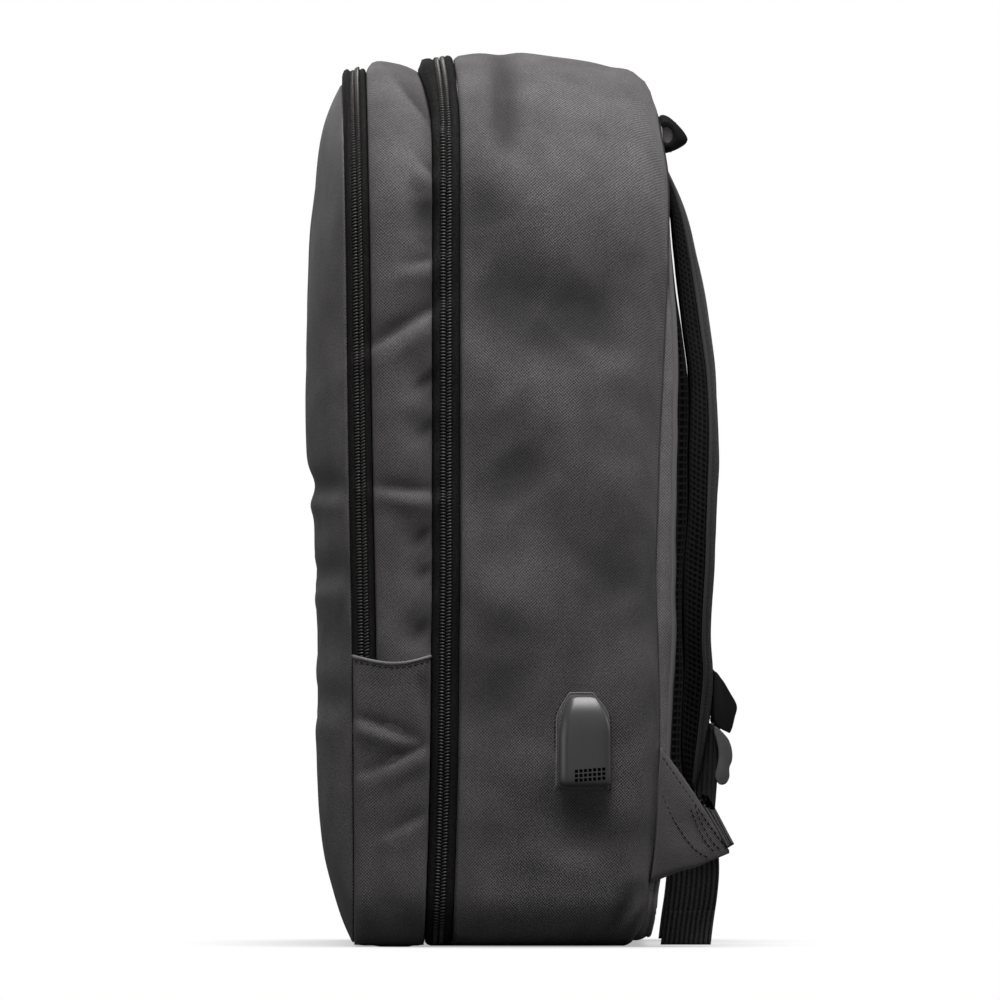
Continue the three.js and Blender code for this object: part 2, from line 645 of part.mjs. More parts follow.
function portCover() {
  const w = coverWidth / 2 - coverBevel;
  const h = coverHeight / 2 - coverBevel;
  const shape = new THREE.Shape();
  shape.moveTo(-w + coverCorner, -h);
  shape.lineTo(w - 1, -h);
  shape.quadraticCurveTo(w, -h, w, -h + 1);
  shape.lineTo(w, h - coverShoulder);
  shape.quadraticCurveTo(w - 0.5, h - 1, w - coverShoulder / 2, h);
  shape.lineTo(-w + coverShoulder / 4, h);
  shape.quadraticCurveTo(-w, h, -w, h - coverShoulder / 3);
  shape.lineTo(-w, -h + coverCorner);
  shape.quadraticCurveTo(-w, -h, -w + coverCorner, -h);
  const bevel = { bevelThickness: coverBevel, bevelSize: coverBevel, bevelSegments: 2 };
  const depth = coverThickness - 2 * coverBevel;
  const plate = new THREE.ExtrudeGeometry(shape, { depth, curveSegments: 4, ...bevel }).translate(0, 0, coverBevel);
  let solid = solidOf(plate);
  for (let row = 0; row < ventRows; row++)
    for (let column = 0; column < ventColumns; column++) {
      const x = (column - (ventColumns - 1) / 2) * ventPitch;
      const y = -coverHeight / 2 + ventFromFoot + row * ventPitch;
      solid = solid.subtract(solidOf(boxAt(ventHole, ventHole, 2 * ventDepth, x, y, coverThickness)));
    }
  return geometryOf(solid);
}

// The cover lies along the patch: its own x runs to the rear, its y up and its z out of the bag
function coverPlace() {
  const at = (across, up) => {
    const y = coverMiddleY + (across * coverWidth) / 2;
    const z = coverMiddleZ + (up * coverHeight) / 2;
    return cloth(y, sideStop(y, z), patchLift + patchThickness + seamGap);
  };
  const along = at(1, 0).sub(at(-1, 0)).normalize();
  const upward = at(0, 1).sub(at(0, -1)).normalize();
  const out = along.clone().cross(upward).normalize();
  const seat = at(0, 0);
  const corners = [-1, 0, 1].flatMap((across) => [-1, 0, 1].map((up) => at(across, up)));
  const lift = Math.max(...corners.map((corner) => corner.sub(seat).dot(out)));
  const place = new THREE.Matrix4().makeBasis(along, out.clone().cross(along), out);
  return place.setPosition(seat.addScaledVector(out, lift));
}

// The padded grab loop behind the top
function topHandle() {
  const count = 14;
  const sides = 10;
  const rings = Array.from({ length: count + 1 }, (_, i) => {
    const share = (2 * i) / count - 1;
    const arch = Math.sqrt(1 - share ** 4);
    const slim = handleSlimmest + (1 - handleSlimmest) * arch;
    const y = panelEdgeY(handleCentreHeight) + seamGap + (handleThickness / 2) * slim + handleSlack * Math.sqrt(1 - share ** 2);
    const z = handleCentreHeight - handleDroop * arch;
    return Array.from({ length: sides }, (_, k) => {
      const angle = (2 * Math.PI * k) / sides;
      return new THREE.Vector3(
        (share * handleReach) / 2,
        y + (handleThickness / 2) * slim * Math.cos(angle),
        z + (handleHeight / 2) * slim * Math.sin(angle),
      );
    });
  });
  return skin(rings, "poles");
}

// Shoulder strap: the outer face follows the table, the inner face is its thickness nearer the back
function strap(side) {
  const profile = [
    { across: -0.5, face: 0.3 },
    { across: -0.47, face: 0.85 },
    { across: -0.36, face: 1 },
    { across: 0.36, face: 1 },
    { across: 0.47, face: 0.85 },
    { across: 0.5, face: 0.3 },
    { across: 0.46, face: 0.04 },
    { across: 0.34, face: 0 },
    { across: -0.34, face: 0 },
    { across: -0.46, face: 0.04 },
  ];
  const rings = strapSections.map((row) => {
    const z = row.height * bagHeight;
    const x = side * THREE.MathUtils.lerp(strapTopX, strapFootX, row.swing);
    const thickness = strapThickness * row.thick;
    const inner = strapInnerY(z);
    return profile.map(
      ({ across, face }) => new THREE.Vector3(x + across * strapWidth * row.wide, inner + face * thickness, z),
    );
  });
  return skin(rings, "poles");
}

// Cloth tab and ladder lock, hung on the outer face of the strap's foot
const hung = ({ out, down }) => {
  const y = strapOuterY(tabHeightAboveFloor) + out * webbingWidth;
  return { y, z: tabHeightAboveFloor - down * webbingWidth };
};

function ladderLock(side) {
  const centre = side * strapFootX;
  const outline = lockOutline.map(hung);
  let solid = solidOf(outlineSlab(outline, centre, lockWidth));
  for (const down of lockSlots.downs) {
    const { y, z } = hung({ out: lockSlots.out, down });
    solid = solid.subtract(solidOf(boxAt(webbingWidth + 1, webbingWidth, lockBar, centre, y, z)));
  }
  return geometryOf(solid);
}

// An outline of any form in the (y, z) plane, given a width along x
function outlineSlab(outline, centreX, width) {
  const shape = new THREE.Shape(outline.map((p) => new THREE.Vector2(p.y, p.z)));
  const geometry = new THREE.ExtrudeGeometry(shape, { depth: width, bevelEnabled: false });
  const turn = new THREE.Matrix4().makeBasis(
    new THREE.Vector3(0, 1, 0),
    new THREE.Vector3(0, 0, 1),
    new THREE.Vector3(1, 0, 0),
  );
  return geometry.applyMatrix4(turn).translate(centreX - width / 2, 0, 0);
}

// The wing: from the side seam to its tip, in from the bag's side
const wingTipY = shellDepth + wingTipBehind;
function wingPoint(side, along, up, offset) {
  const upper = THREE.MathUtils.lerp(wingTopHeight, wingTipHeight, along);
  const tipDrop = (wingTipHeight - wingFootHeight) * read(wingFootLine, "along", along, "drop");
  const lower = wingTipHeight - tipDrop;
  const z = THREE.MathUtils.lerp(lower, upper, up);
  const seam = cloth(shellDepth, sideStop(shellDepth, Math.max(z, baseRadius), side), -shellWall / 2);
  const y = THREE.MathUtils.lerp(seam.y + seamGap, wingTipY, along);
  const x = THREE.MathUtils.lerp(Math.abs(seam.x), wingTipX, along) + offset;
  return new THREE.Vector3(side * x, y, z);
}

function wing(side) {
  const half = wingThickness / 2;
  const rings = [0, 0.12, 0.2, 0.35, 0.56, 0.8, 1].map((along) => [
    ...[1, 0.6, 0.25, 0].map((up) => wingPoint(side, along, up, half)),
    ...[0, 0.25, 0.6, 1].map((up) => wingPoint(side, along, up, -half)),
  ]);
  return skin(rings, "ladder");
}

// The wing's upper edge, where the folded webbing lies: a point and how far above the edge it is
function aboveWing(along, height) {
  const start = wingPoint(1, 0, 1, 0);
  const tip = wingPoint(1, 1, 1, 0);
  const edge = new THREE.Vector2(tip.y - start.y, tip.z - start.z).normalize();
  return {
    y: THREE.MathUtils.lerp(start.y, tip.y, along) - edge.y * height,
    z: THREE.MathUtils.lerp(start.z, tip.z, along) + edge.x * height,
  };
}

const stubOutline = [
  aboveWing(1 - stubShare, seamGap + stubThickness),
  aboveWing(1, seamGap + stubEndThickness),
  aboveWing(1, seamGap),
  aboveWing(1 - stubShare, seamGap),
];

// The short webbing: straight down beside the ladder lock, then out to the folded webbing on the wing
function lowerWebbing(side) {
  const top = hung({ out: 0, down: 1.34 });
  const bend = hung({ out: 0, down: 2.2 });
  const foot = aboveWing(1 - webbingFootShare * stubShare, 3 * seamGap + stubThickness);
  const half = webbingThickness / 2;
  const outline = [
    { y: top.y + half, z: top.z },
    { y: bend.y + half, z: bend.z },
    { y: foot.y + half, z: foot.z + half },
    { y: foot.y - half, z: foot.z + 2 * webbingThickness },
    { y: bend.y - half, z: bend.z },
    { y: top.y - half, z: top.z },
  ];
  return slab(outline, side * strapFootX, webbingWidth);
}

// The free end: it hangs from the lock, turns a quarter behind the wing and ends at the floor
function webbingTail(side) {
  const rings = tailSections.map(({ height, back, turn }) => {
    const angle = (turn * Math.PI) / 2;
    const across = new THREE.Vector3(Math.cos(angle) * side, Math.sin(angle), 0);
    const through = new THREE.Vector3(-Math.sin(angle), Math.cos(angle) * side, 0);
    const centre = new THREE.Vector3(side * tailX, shellDepth + back * wingTipBehind, height * wingTopHeight);
    const corners = [
      [-0.5, 0.5],
      [0.5, 0.5],
      [0.5, -0.5],
      [-0.5, -0.5],
    ];
    return corners.map(([a, t]) =>
      centre
        .clone()
        .addScaledVector(across, a * webbingWidth)
        .addScaledVector(through, t * webbingThickness),
    );
  });
  return skin(rings, "ladder");
}

// Assembly
addPiece("main_shell", mainShell(), clothGrey);
addPiece("back_panel", backPanel(), blackMesh);
addPiece("middle_gusset", middleGusset(), clothGrey);
addPiece("front_panel", frontPanel(), lowerCloth);
addPiece("main_zip", zip(gussetRear + seamGap / 2, -seamGap / 2), zipBlack);
addPiece("front_zip", zip(frontSeam + seamGap / 2, gussetFront - seamGap / 2), zipBlack);
for (const [name, y, z] of [
  ["main_zip_slider", gussetRear / 2, bagHeight * sliderHeights.main],
  ["front_zip_slider", (frontSeam + gussetFront) / 2, bagHeight * sliderHeights.front],
]) {
  const { seat, geometry } = slider(y, z);
  addPiece(name, geometry, sliderMetal).position.copy(seat);
}
addPiece("usb_surround", coverPatch(), clothGrey);
addPiece("usb_cover", portCover(), plasticGrey).applyMatrix4(coverPlace());
addPiece("top_handle", topHandle(), blackMesh);
for (const [suffix, side] of [
  ["right", 1],
  ["left", -1],
]) {
  addPiece("side_pocket_" + suffix, sidePocket(side), lowerCloth);
  addPiece("strap_" + suffix, strap(side), blackMesh);
  addPiece("strap_tab_" + suffix, outlineSlab(tabOutline.map(hung), side * strapFootX, tabWidth), webbingBlack);
  addPiece("ladder_lock_" + suffix, ladderLock(side), plasticGrey);
  addPiece("lower_webbing_" + suffix, lowerWebbing(side), webbingBlack);
  addPiece("webbing_stub_" + suffix, slab(stubOutline, side * strapFootX, webbingWidth), webbingBlack);
  addPiece("wing_" + suffix, wing(side), clothGrey);
  addPiece("webbing_tail_" + suffix, webbingTail(side), webbingBlack);
}

// The origin is the middle of the bag's box, on the floor
const box = new THREE.Box3().setFromObject(bag, true);
const whole = new THREE.Group();
bag.position.set(-(box.min.x + box.max.x) / 2, -(box.min.y + box.max.y) / 2, -box.min.z);
whole.add(bag);

export default whole;
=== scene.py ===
"""Laptop backpack of dark grey woven polyester, standing on its base, seen square from its right side."""
import math
from collections import namedtuple

import bpy
import numpy as np
from mathutils import Matrix, Vector


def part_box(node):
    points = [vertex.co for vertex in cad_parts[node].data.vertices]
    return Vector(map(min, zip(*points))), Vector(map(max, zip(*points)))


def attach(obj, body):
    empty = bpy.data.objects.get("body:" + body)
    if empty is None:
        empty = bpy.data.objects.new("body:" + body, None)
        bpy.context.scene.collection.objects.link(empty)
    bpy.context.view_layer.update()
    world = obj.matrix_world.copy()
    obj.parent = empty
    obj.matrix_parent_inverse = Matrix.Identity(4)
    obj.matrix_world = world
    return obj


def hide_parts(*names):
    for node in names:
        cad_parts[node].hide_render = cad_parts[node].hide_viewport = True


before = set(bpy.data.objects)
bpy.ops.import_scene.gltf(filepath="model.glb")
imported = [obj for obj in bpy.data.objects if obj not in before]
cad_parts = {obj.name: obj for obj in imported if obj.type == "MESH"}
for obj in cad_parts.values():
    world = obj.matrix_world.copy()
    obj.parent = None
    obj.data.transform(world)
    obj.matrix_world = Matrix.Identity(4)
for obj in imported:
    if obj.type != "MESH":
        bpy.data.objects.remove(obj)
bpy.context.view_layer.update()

MM = 0.001

# Sizes of the bag, in millimetres
BAG_HEIGHT = 453
BAG_WIDTH = 300
SHELL_DEPTH = 101
MAIN_ZIP_WIDTH = 14
GUSSET_DEPTH = 33
FRONT_ZIP_WIDTH = 12
FRONT_DEPTH = 21
TOP_RADIUS = 80
BASE_RADIUS = 26
TOP_TAPER = 0.05
TOP_CROWN = 5
SIDE_BULGE = 3
TOP_LIFT = 2.3
GUSSET_SINK = 4.2
GUSSET_FALL = 7.0
SEAM_GAP = 0.3
SHELL_WALL = 2.4
POCKET_HEIGHT = 147
POCKET_SAG = 5
POCKET_WALL = 1.6
CHANNEL_WIDTH = 30
CHANNEL_DEPTH = 5
STRAP_STANDOFF = 10
STRAP_WIDTH = 62
STRAP_THICKNESS = 14
STRAP_TOP_X = 50
STRAP_FOOT_X = 118
WEBBING_WIDTH = 25.5
WEBBING_THICKNESS = 1.5
LOCK_WIDTH = 34
TAB_TOP = 138
TAIL_X = 112
WING_TOP = 101.5
WING_FOOT = 32
WING_TIP = 48.5
WING_REACH = 35.6
WING_TIP_X = 127
WING_BOW = 2.5
ZIP_PITCH = 1.65

# Places along the depth, from the front edge of the main shell
GUSSET_REAR = -MAIN_ZIP_WIDTH
GUSSET_FRONT = GUSSET_REAR - GUSSET_DEPTH
FRONT_SEAM = GUSSET_FRONT - FRONT_ZIP_WIDTH
BODY_DEPTH = SHELL_DEPTH - FRONT_SEAM

# The bag's cross-section along its depth: width and top are shares of the bag's width and height
CROSS_SECTIONS = {
    "along": [0.0, 0.075, 0.18, 0.28, 0.37, 0.52, 0.68, 0.845, 0.93, 0.98, 1.0],
    "width": [0.92, 0.94, 0.963, 0.962, 0.97, 0.99, 1.0, 0.993, 0.983, 0.973, 0.967],
    "top": [0.974, 0.989, 0.99, 0.99, 0.9945, 1.0, 0.9935, 0.983, 0.9746, 0.9536, 0.929],
}
# How the seams swing along the depth as they climb
SEAM_LINES = {
    "height": [0.0, 0.024, 0.07, 0.115, 0.22, 0.34, 0.42, 0.5, 0.54, 0.66, 0.775, 0.865, 0.93, 0.97, 1.0],
    "slant": [0.36, 0.36, 0.36, 0.35, 0.33, 0.3, 0.25, 0.2, 0.18, 0.12, 0.08, 0.02, -0.03, -0.07, -0.09],
    "lean": [-0.3, -0.26, -0.2, -0.15, -0.07, -0.03, 0.0, 0.0, 0.0, 0.0, 0.0, 0.0, -0.04, -0.14, -0.29],
    "bow": [
        -0.15, -0.084, -0.05, -0.02, 0.003, -0.004, -0.013, -0.005, 0.0, 0.024, 0.048, 0.048, 0.004, 0.0, 0.0,
    ],
    "panel": [0.93, 0.955, 0.99, 1.02, 1.04, 1.067, 1.068, 1.07, 1.072, 1.078, 1.045, 1.016, 1.0, 1.0, 1.0],
    "belly": [0.86, 0.86, 0.86, 0.87, 0.87, 0.86, 0.89, 0.92, 1.0, 1.0, 0.9, 0.85, 0.95, 1.0, 1.0],
}

# A fold runs from one place to another, as shares of a depth and a height. spread and rise are in
# millimetres, and a rise below nothing is a hollow. lip is the ridge on its lower side, and a sharp fold
# breaks at its line
Fold = namedtuple("Fold", "along0 height0 along1 height1 spread rise lip sharp", defaults=(False,))
# Folds of the sides, as shares of the body's depth and height
SIDE_FOLDS = [
    Fold(0.185, 0.968, 0.285, 0.93, 7, -7.5, 0.3, sharp=True),
    Fold(0.245, 0.883, 0.285, 0.872, 5, -4.0, 0.4, sharp=True),
    Fold(0.25, 0.845, 0.275, 0.8, 8, -6.0, 0.1),
    Fold(0.225, 0.765, 0.285, 0.772, 6, -4.0, 0.4, sharp=True),
    Fold(0.085, 0.672, 0.285, 0.714, 7.5, -7.0, 0.35, sharp=True),
    Fold(0.24, 0.64, 0.275, 0.625, 9, -4.4, 0.1),
    Fold(0.24, 0.585, 0.275, 0.57, 8, -3.2, 0.1),
    Fold(0.09, 0.513, 0.285, 0.507, 5.5, -4.6, 0.5, sharp=True),
    Fold(0.225, 0.463, 0.26, 0.45, 8, -3.6, 0.1),
    Fold(0.24, 0.425, 0.27, 0.41, 7, -3.2, 0.1),
    Fold(0.22, 0.358, 0.26, 0.345, 8, -3.2, 0.0),
    Fold(0.51, 1.0, 0.505, 0.905, 7, -6.0, 0.0),
    Fold(0.4, 0.865, 0.44, 0.8, 16, -3.6, 0.2),
    Fold(0.42, 0.75, 0.6, 0.71, 24, -4.8, 0.3),
    Fold(0.7, 0.68, 0.82, 0.72, 24, -4.2, 0.4),
    Fold(0.5, 0.55, 0.6, 0.5, 24, -4.4, 0.2),
    Fold(0.66, 0.57, 0.9, 0.5, 14, 2.4, 0.0),
    Fold(0.8, 0.45, 0.9, 0.38, 22, -3.6, 0.3),
    Fold(0.45, 0.3, 0.55, 0.26, 22, -3.4, 0.2),
    Fold(0.38, 0.42, 0.55, 0.37, 12, 2.4, 0.0),
    Fold(0.6, 0.16, 0.9, 0.12, 15, -2.8, 0.3),
    Fold(0.945, 0.06, 0.9, 0.022, 5, -2.8, 0.6),
    Fold(0.972, 0.953, 1.0, 0.94, 5, -6.0, 0.3, sharp=True),
]
# Folds of the front, as shares of its half width and height
FRONT_FOLDS = [
    Fold(-1.0, 0.518, 1.0, 0.518, 7, -2.6, 0.6),
    Fold(-0.8, 0.46, 0.3, 0.44, 16, -1.6, 0.3),
    Fold(0.2, 0.41, 0.98, 0.425, 8, -1.8, 0.5),
    Fold(0.0, 0.36, 0.9, 0.345, 14, -1.6, 0.4),
    Fold(0.3, 0.27, 0.98, 0.285, 10, -1.5, 0.4),
    Fold(-0.95, 0.3, -0.2, 0.26, 12, -1.5, 0.4),
]
# Folds of the side pocket, as shares of its depth and height
POCKET_FOLDS = [
    Fold(0.0, 0.785, 0.68, 0.72, 5, -4.0, 0.5, sharp=True),
    Fold(0.2, 0.6, 1.0, 0.69, 6, -3.6, 0.4, sharp=True),
    Fold(0.5, 0.39, 1.0, 0.45, 7, -2.6, 0.3, sharp=True),
    Fold(0.15, 0.25, 0.8, 0.2, 12, 1.2, 0.0),
    Fold(0.95, 0.92, 1.0, 0.8, 6, -2.6, 0.2),
]

# The strap from its sewn top to its foot: off is a share of the strap's standoff, thick and wide of its
# thickness and width, swing of the way from its top x to its foot x
STRAP_SECTIONS = {
    "height": [
        0.172, 0.199, 0.247, 0.305, 0.347, 0.424, 0.479, 0.543, 0.63, 0.687, 0.733, 0.779, 0.821, 0.843, 0.87,
    ],
    "off": [1.0, 0.81, 0.71, 0.67, 0.55, 0.59, 0.77, 0.76, 0.72, 0.5, 0.38, 0.31, 0.27, 0.19, 0.0],
    "thick": [0.3, 0.64, 0.9, 1.0, 0.95, 1.05, 0.96, 1.06, 0.94, 0.98, 0.93, 0.78, 0.58, 0.42, 0.21],
    "wide": [0.5, 0.6, 0.7, 0.8, 0.86, 0.94, 0.98, 1.0, 1.0, 1.0, 1.0, 1.0, 1.0, 0.95, 0.9],
    "swing": [1.0, 1.0, 1.0, 1.0, 1.0, 0.94, 0.87, 0.75, 0.52, 0.34, 0.2, 0.1, 0.03, 0.01, 0.0],
}

# Side outlines out from the strap and down from the tab's seam, as shares of the webbing's width
TAB_OUTLINE = {
    "out": [0.02, 0.18, 0.34, 0.48, 0.44, 0.37, 0.29, 0.02],
    "down": [0.0, 0.1, 0.36, 0.63, 0.86, 1.12, 1.16, 0.9],
}
LOCK_OUTLINE = {
    "out": [0.06, 0.27, 0.355, 0.39, 0.38, 0.33, 0.33, 0.26, 0.14, 0.06, 0.05, 0.1, 0.11, 0.08, 0.02],
    "down": [1.04, 1.24, 1.4, 1.58, 1.73, 1.87, 2.05, 2.18, 2.2, 2.1, 1.98, 1.76, 1.56, 1.36, 1.14],
}
# The free webbing: height as a share of the wing's top, back of the wing's reach, turn of a quarter turn
TAIL_SECTIONS = {
    "height": [0.004, 0.12, 0.24, 0.36, 0.45, 0.53, 0.61, 0.69, 0.76, 0.83, 0.93],
    "back": [0.38, 0.42, 0.47, 0.5, 0.5, 0.505, 0.51, 0.525, 0.565, 0.625, 0.69],
    "turn": [1.0, 1.0, 1.0, 1.0, 0.86, 0.6, 0.3, 0.08, 0.0, 0.0, 0.0],
}
WING_FOOT_LINE = {
    "along": [0.0, 0.2, 0.35, 0.56, 0.8, 1.0],
    "drop": [1.0, 0.8, 0.65, 0.52, 0.28, 0.09],
}

# The bag's middle plane and the front edge of its main shell, in the frame
shell_low, shell_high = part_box("main_shell")
MIDDLE_X = (shell_low.x + shell_high.x) / 2
FRONT_EDGE_Y = shell_high.y - SHELL_DEPTH * (1 + max(SEAM_LINES["bow"])) * MM
FRAME_SHIFT = np.array([MIDDLE_X, FRONT_EDGE_Y, 0.0])


# Camera and light
def add_camera():
    """A long lens level with the middle of the bag, square to its right side."""
    near_side = shell_high.x
    distance = 16.0
    frame_width = 0.5065
    aim_y, aim_z = -0.0107, 0.2262
    lens = bpy.data.cameras.new("camera")
    lens.sensor_width = 36
    lens.lens = lens.sensor_width * distance / frame_width
    camera = bpy.data.objects.new("camera", lens)
    bpy.context.scene.collection.objects.link(camera)
    camera.location = (near_side + distance, aim_y, aim_z)
    camera.rotation_euler = (math.pi / 2, 0, math.pi / 2)
    bpy.context.scene.camera = camera


def add_light(name, place, target, size, watts):
    lamp = bpy.data.lights.new(name, "AREA")
    lamp.shape = "RECTANGLE"
    lamp.size, lamp.size_y = size
    lamp.energy = watts
    light = bpy.data.objects.new(name, lamp)
    bpy.context.scene.collection.objects.link(light)
    light.location = place
    light.rotation_euler = (Vector(target) - Vector(place)).to_track_quat("-Z", "Y").to_euler()


def add_studio():
    """Soft light from above and in front, on a pale floor that fades into a white room."""
    add_light("overhead", (0.42, 0.05, 1.1), (0.02, 0.0, 0.3), (0.34, 0.6), 11.5)
    add_light("side_key", (0.95, -0.1, 1.35), (0.1, 0.0, 0.15), (0.5, 0.5), 5.0)
    add_light("side_fill", (2.2, -0.3, 0.3), (0.0, 0.0, 0.15), (0.9, 0.9), 2.2)
    add_light("front_fill", (0.7, -1.8, 0.1), (0.0, 0.0, 0.1), (0.9, 0.9), 6.5)
    add_light("rear_fill", (0.15, 1.9, 0.8), (0.0, 0.0, 0.2), (0.9, 0.9), 10.0)
    add_light("far_fill", (-1.6, -0.6, 1.0), (0.0, 0.0, 0.2), (1.2, 1.2), 9)
    world = bpy.data.worlds.new("studio")
    bpy.context.scene.world = world
    world.use_nodes = True
    tree = world.node_tree
    seen = tree.nodes.new("ShaderNodeLightPath")
    strength = add_node(
        tree, "ShaderNodeMapRange", {"To Min": 0.09, "To Max": 1.0}, {"Value": seen.outputs["Is Camera Ray"]}
    )
    background = tree.nodes["Background"]
    background.inputs["Color"].default_value = (1, 1, 1, 1)
    tree.links.new(strength.outputs[0], background.inputs["Strength"])
    add_floor()
    bpy.context.scene.view_settings.view_transform = "Standard"


def add_floor():
    """A white paper floor that shows a painted contact shadow where something stands on it: ambient occlusion
    dims its glow there. It fades out far away.
    To all but the camera it is dark, because the lit room in the photograph reflects little from below."""
    deselect()
    bpy.ops.mesh.primitive_circle_add(vertices=96, radius=0.9, fill_type="NGON", location=(0, 0, -0.0004))
    floor = bpy.context.object
    floor.name = "studio_floor"
    material, tree, _ = new_material("white_paper_floor")
    # Painted contact shadow: the floor's glow is dimmed by ambient occlusion near the bag.
    near = add_node(tree, "ShaderNodeAmbientOcclusion", {"samples": 8, "Distance": 0.11})
    white = add_node(
        tree,
        "ShaderNodeMapRange",
        {"From Min": 0.1, "From Max": 0.85, "To Min": 0.42, "To Max": 1.0},
        {0: near.outputs["AO"]},
    )
    paper = add_node(tree, "ShaderNodeEmission", {}, {"Strength": white.outputs[0]})
    place = add_node(tree, "ShaderNodeTexCoord")
    reach = add_node(tree, "ShaderNodeVectorMath", {"operation": "LENGTH"}, {0: place.outputs["Object"]})
    fade = add_node(
        tree, "ShaderNodeMapRange", {"From Min": 0.35, "From Max": 0.85}, {0: reach.outputs["Value"]}
    )
    clear = add_node(tree, "ShaderNodeBsdfTransparent")
    edge = add_node(
        tree, "ShaderNodeMixShader", {}, {0: fade.outputs[0], 1: paper.outputs[0], 2: clear.outputs[0]}
    )
    dark = add_node(tree, "ShaderNodeBsdfDiffuse", {"Color": linear("5E5E5E")})
    ray = add_node(tree, "ShaderNodeLightPath")
    both = add_node(
        tree,
        "ShaderNodeMixShader",
        {},
        {0: ray.outputs["Is Camera Ray"], 1: dark.outputs[0], 2: edge.outputs[0]},
    )
    tree.links.new(both.outputs[0], tree.nodes["Material Output"].inputs["Surface"])
    floor.data.materials.append(material)


# Materials
def linear(code):
    """An sRGB hex colour as linear RGBA."""
    channels = [int(code[i : i + 2], 16) / 255 for i in (0, 2, 4)]
    return tuple(c / 12.92 if c <= 0.04045 else ((c + 0.055) / 1.055) ** 2.4 for c in channels) + (1.0,)


def add_node(tree, kind, settings=None, links=None):
    """A node with its settings, as properties or input values, and its links."""
    node = tree.nodes.new(kind)
    for key, value in (settings or {}).items():
        if hasattr(node, str(key)):
            setattr(node, key, value)
        else:
            node.inputs[key].default_value = value
    for key, socket in (links or {}).items():
        tree.links.new(socket, node.inputs[key])
    return node


def new_material(name):
    material = bpy.data.materials.new(name)
    material.use_nodes = True
    return material, material.node_tree, material.node_tree.nodes["Principled BSDF"]


def woven_polyester(name, dark, light, thread=1.6, mottle=0.5, roughness=0.8, relief=0.3):
    """Twill-woven polyester, dyed dark grey: its crossing threads catch light as fine slanting dashes, over a
    slow drift of tone where the cloth has been handled. Deep in its folds its colour is darkened, a painted
    shade. The real threads are about 0.5 mm apart, drawn coarser, so that they show."""
    material, tree, shader = new_material(name)
    place = add_node(tree, "ShaderNodeUVMap", {"uv_map": "cloth"})
    waver = add_node(
        tree,
        "ShaderNodeTexNoise",
        {"Scale": 260, "Detail": 2, "Roughness": 0.6},
        {"Vector": place.outputs[0]},
    )
    bent = add_node(
        tree,
        "ShaderNodeVectorMath",
        {"operation": "MULTIPLY_ADD", 1: (0.9 * MM,) * 3},
        {0: waver.outputs["Color"], 2: place.outputs[0]},
    )
    axes = add_node(tree, "ShaderNodeSeparateXYZ", {}, {0: bent.outputs[0]})
    turns = 2 * math.pi / (thread * MM)
    along = add_node(tree, "ShaderNodeMath", {"operation": "MULTIPLY", 1: turns}, {0: axes.outputs["X"]})
    across = add_node(tree, "ShaderNodeMath", {"operation": "MULTIPLY", 1: turns}, {0: axes.outputs["Y"]})
    waves = [
        add_node(tree, "ShaderNodeMath", {"operation": "SINE"}, {0: angle.outputs[0]})
        for angle in (along, across)
    ]
    crossing = add_node(
        tree, "ShaderNodeMath", {"operation": "MULTIPLY"}, {0: waves[0].outputs[0], 1: waves[1].outputs[0]}
    )
    yarn = add_node(
        tree,
        "ShaderNodeTexNoise",
        {"Scale": 900, "Detail": 2, "Roughness": 0.7},
        {"Vector": place.outputs[0]},
    )
    height = add_node(
        tree,
        "ShaderNodeMath",
        {"operation": "MULTIPLY_ADD", 1: 0.42},
        {0: crossing.outputs[0], 2: yarn.outputs["Fac"]},
    )
    tone = add_node(
        tree, "ShaderNodeMapRange", {"From Min": 0.1, "From Max": 0.95}, {0: height.outputs[0]}
    )
    drift = add_node(
        tree, "ShaderNodeTexNoise", {"Scale": 38, "Detail": 4, "Roughness": 0.6}, {"Vector": place.outputs[0]}
    )
    shade = add_node(
        tree,
        "ShaderNodeMapRange",
        {"From Min": 0.3, "From Max": 0.7, "To Min": 1 - mottle / 2, "To Max": 1 + mottle / 2},
        {0: drift.outputs["Fac"]},
    )
    colour = add_node(
        tree, "ShaderNodeMix", {"data_type": "RGBA", 6: linear(dark), 7: linear(light)}, {0: tone.outputs[0]}
    )
    # Painted shade: the colour is darkened by up to 0.6 where the hollow attribute marks a fold.
    hollow = add_node(tree, "ShaderNodeAttribute", {"attribute_name": "hollow"})
    folded = add_node(
        tree, "ShaderNodeMath", {"operation": "MULTIPLY_ADD", 1: -0.6, 2: 1.0}, {0: hollow.outputs["Fac"]}
    )
    mottle_and_painted_fold_shade = add_node(
        tree, "ShaderNodeMath", {"operation": "MULTIPLY"}, {0: shade.outputs[0], 1: folded.outputs[0]}
    )
    shaded = add_node(
        tree,
        "ShaderNodeVectorMath",
        {"operation": "SCALE"},
        {0: colour.outputs[2], "Scale": mottle_and_painted_fold_shade.outputs[0]},
    )
    tree.links.new(shaded.outputs[0], shader.inputs["Base Color"])
    shader.inputs["Roughness"].default_value = roughness
    shader.inputs["Specular IOR Level"].default_value = 0.35
    shader.inputs["Sheen Weight"].default_value = 0.08
    bump = add_node(
        tree, "ShaderNodeBump", {"Strength": 0.7, "Distance": relief * MM}, {"Height": height.outputs[0]}
    )
    tree.links.new(bump.outputs[0], shader.inputs["Normal"])
    return material


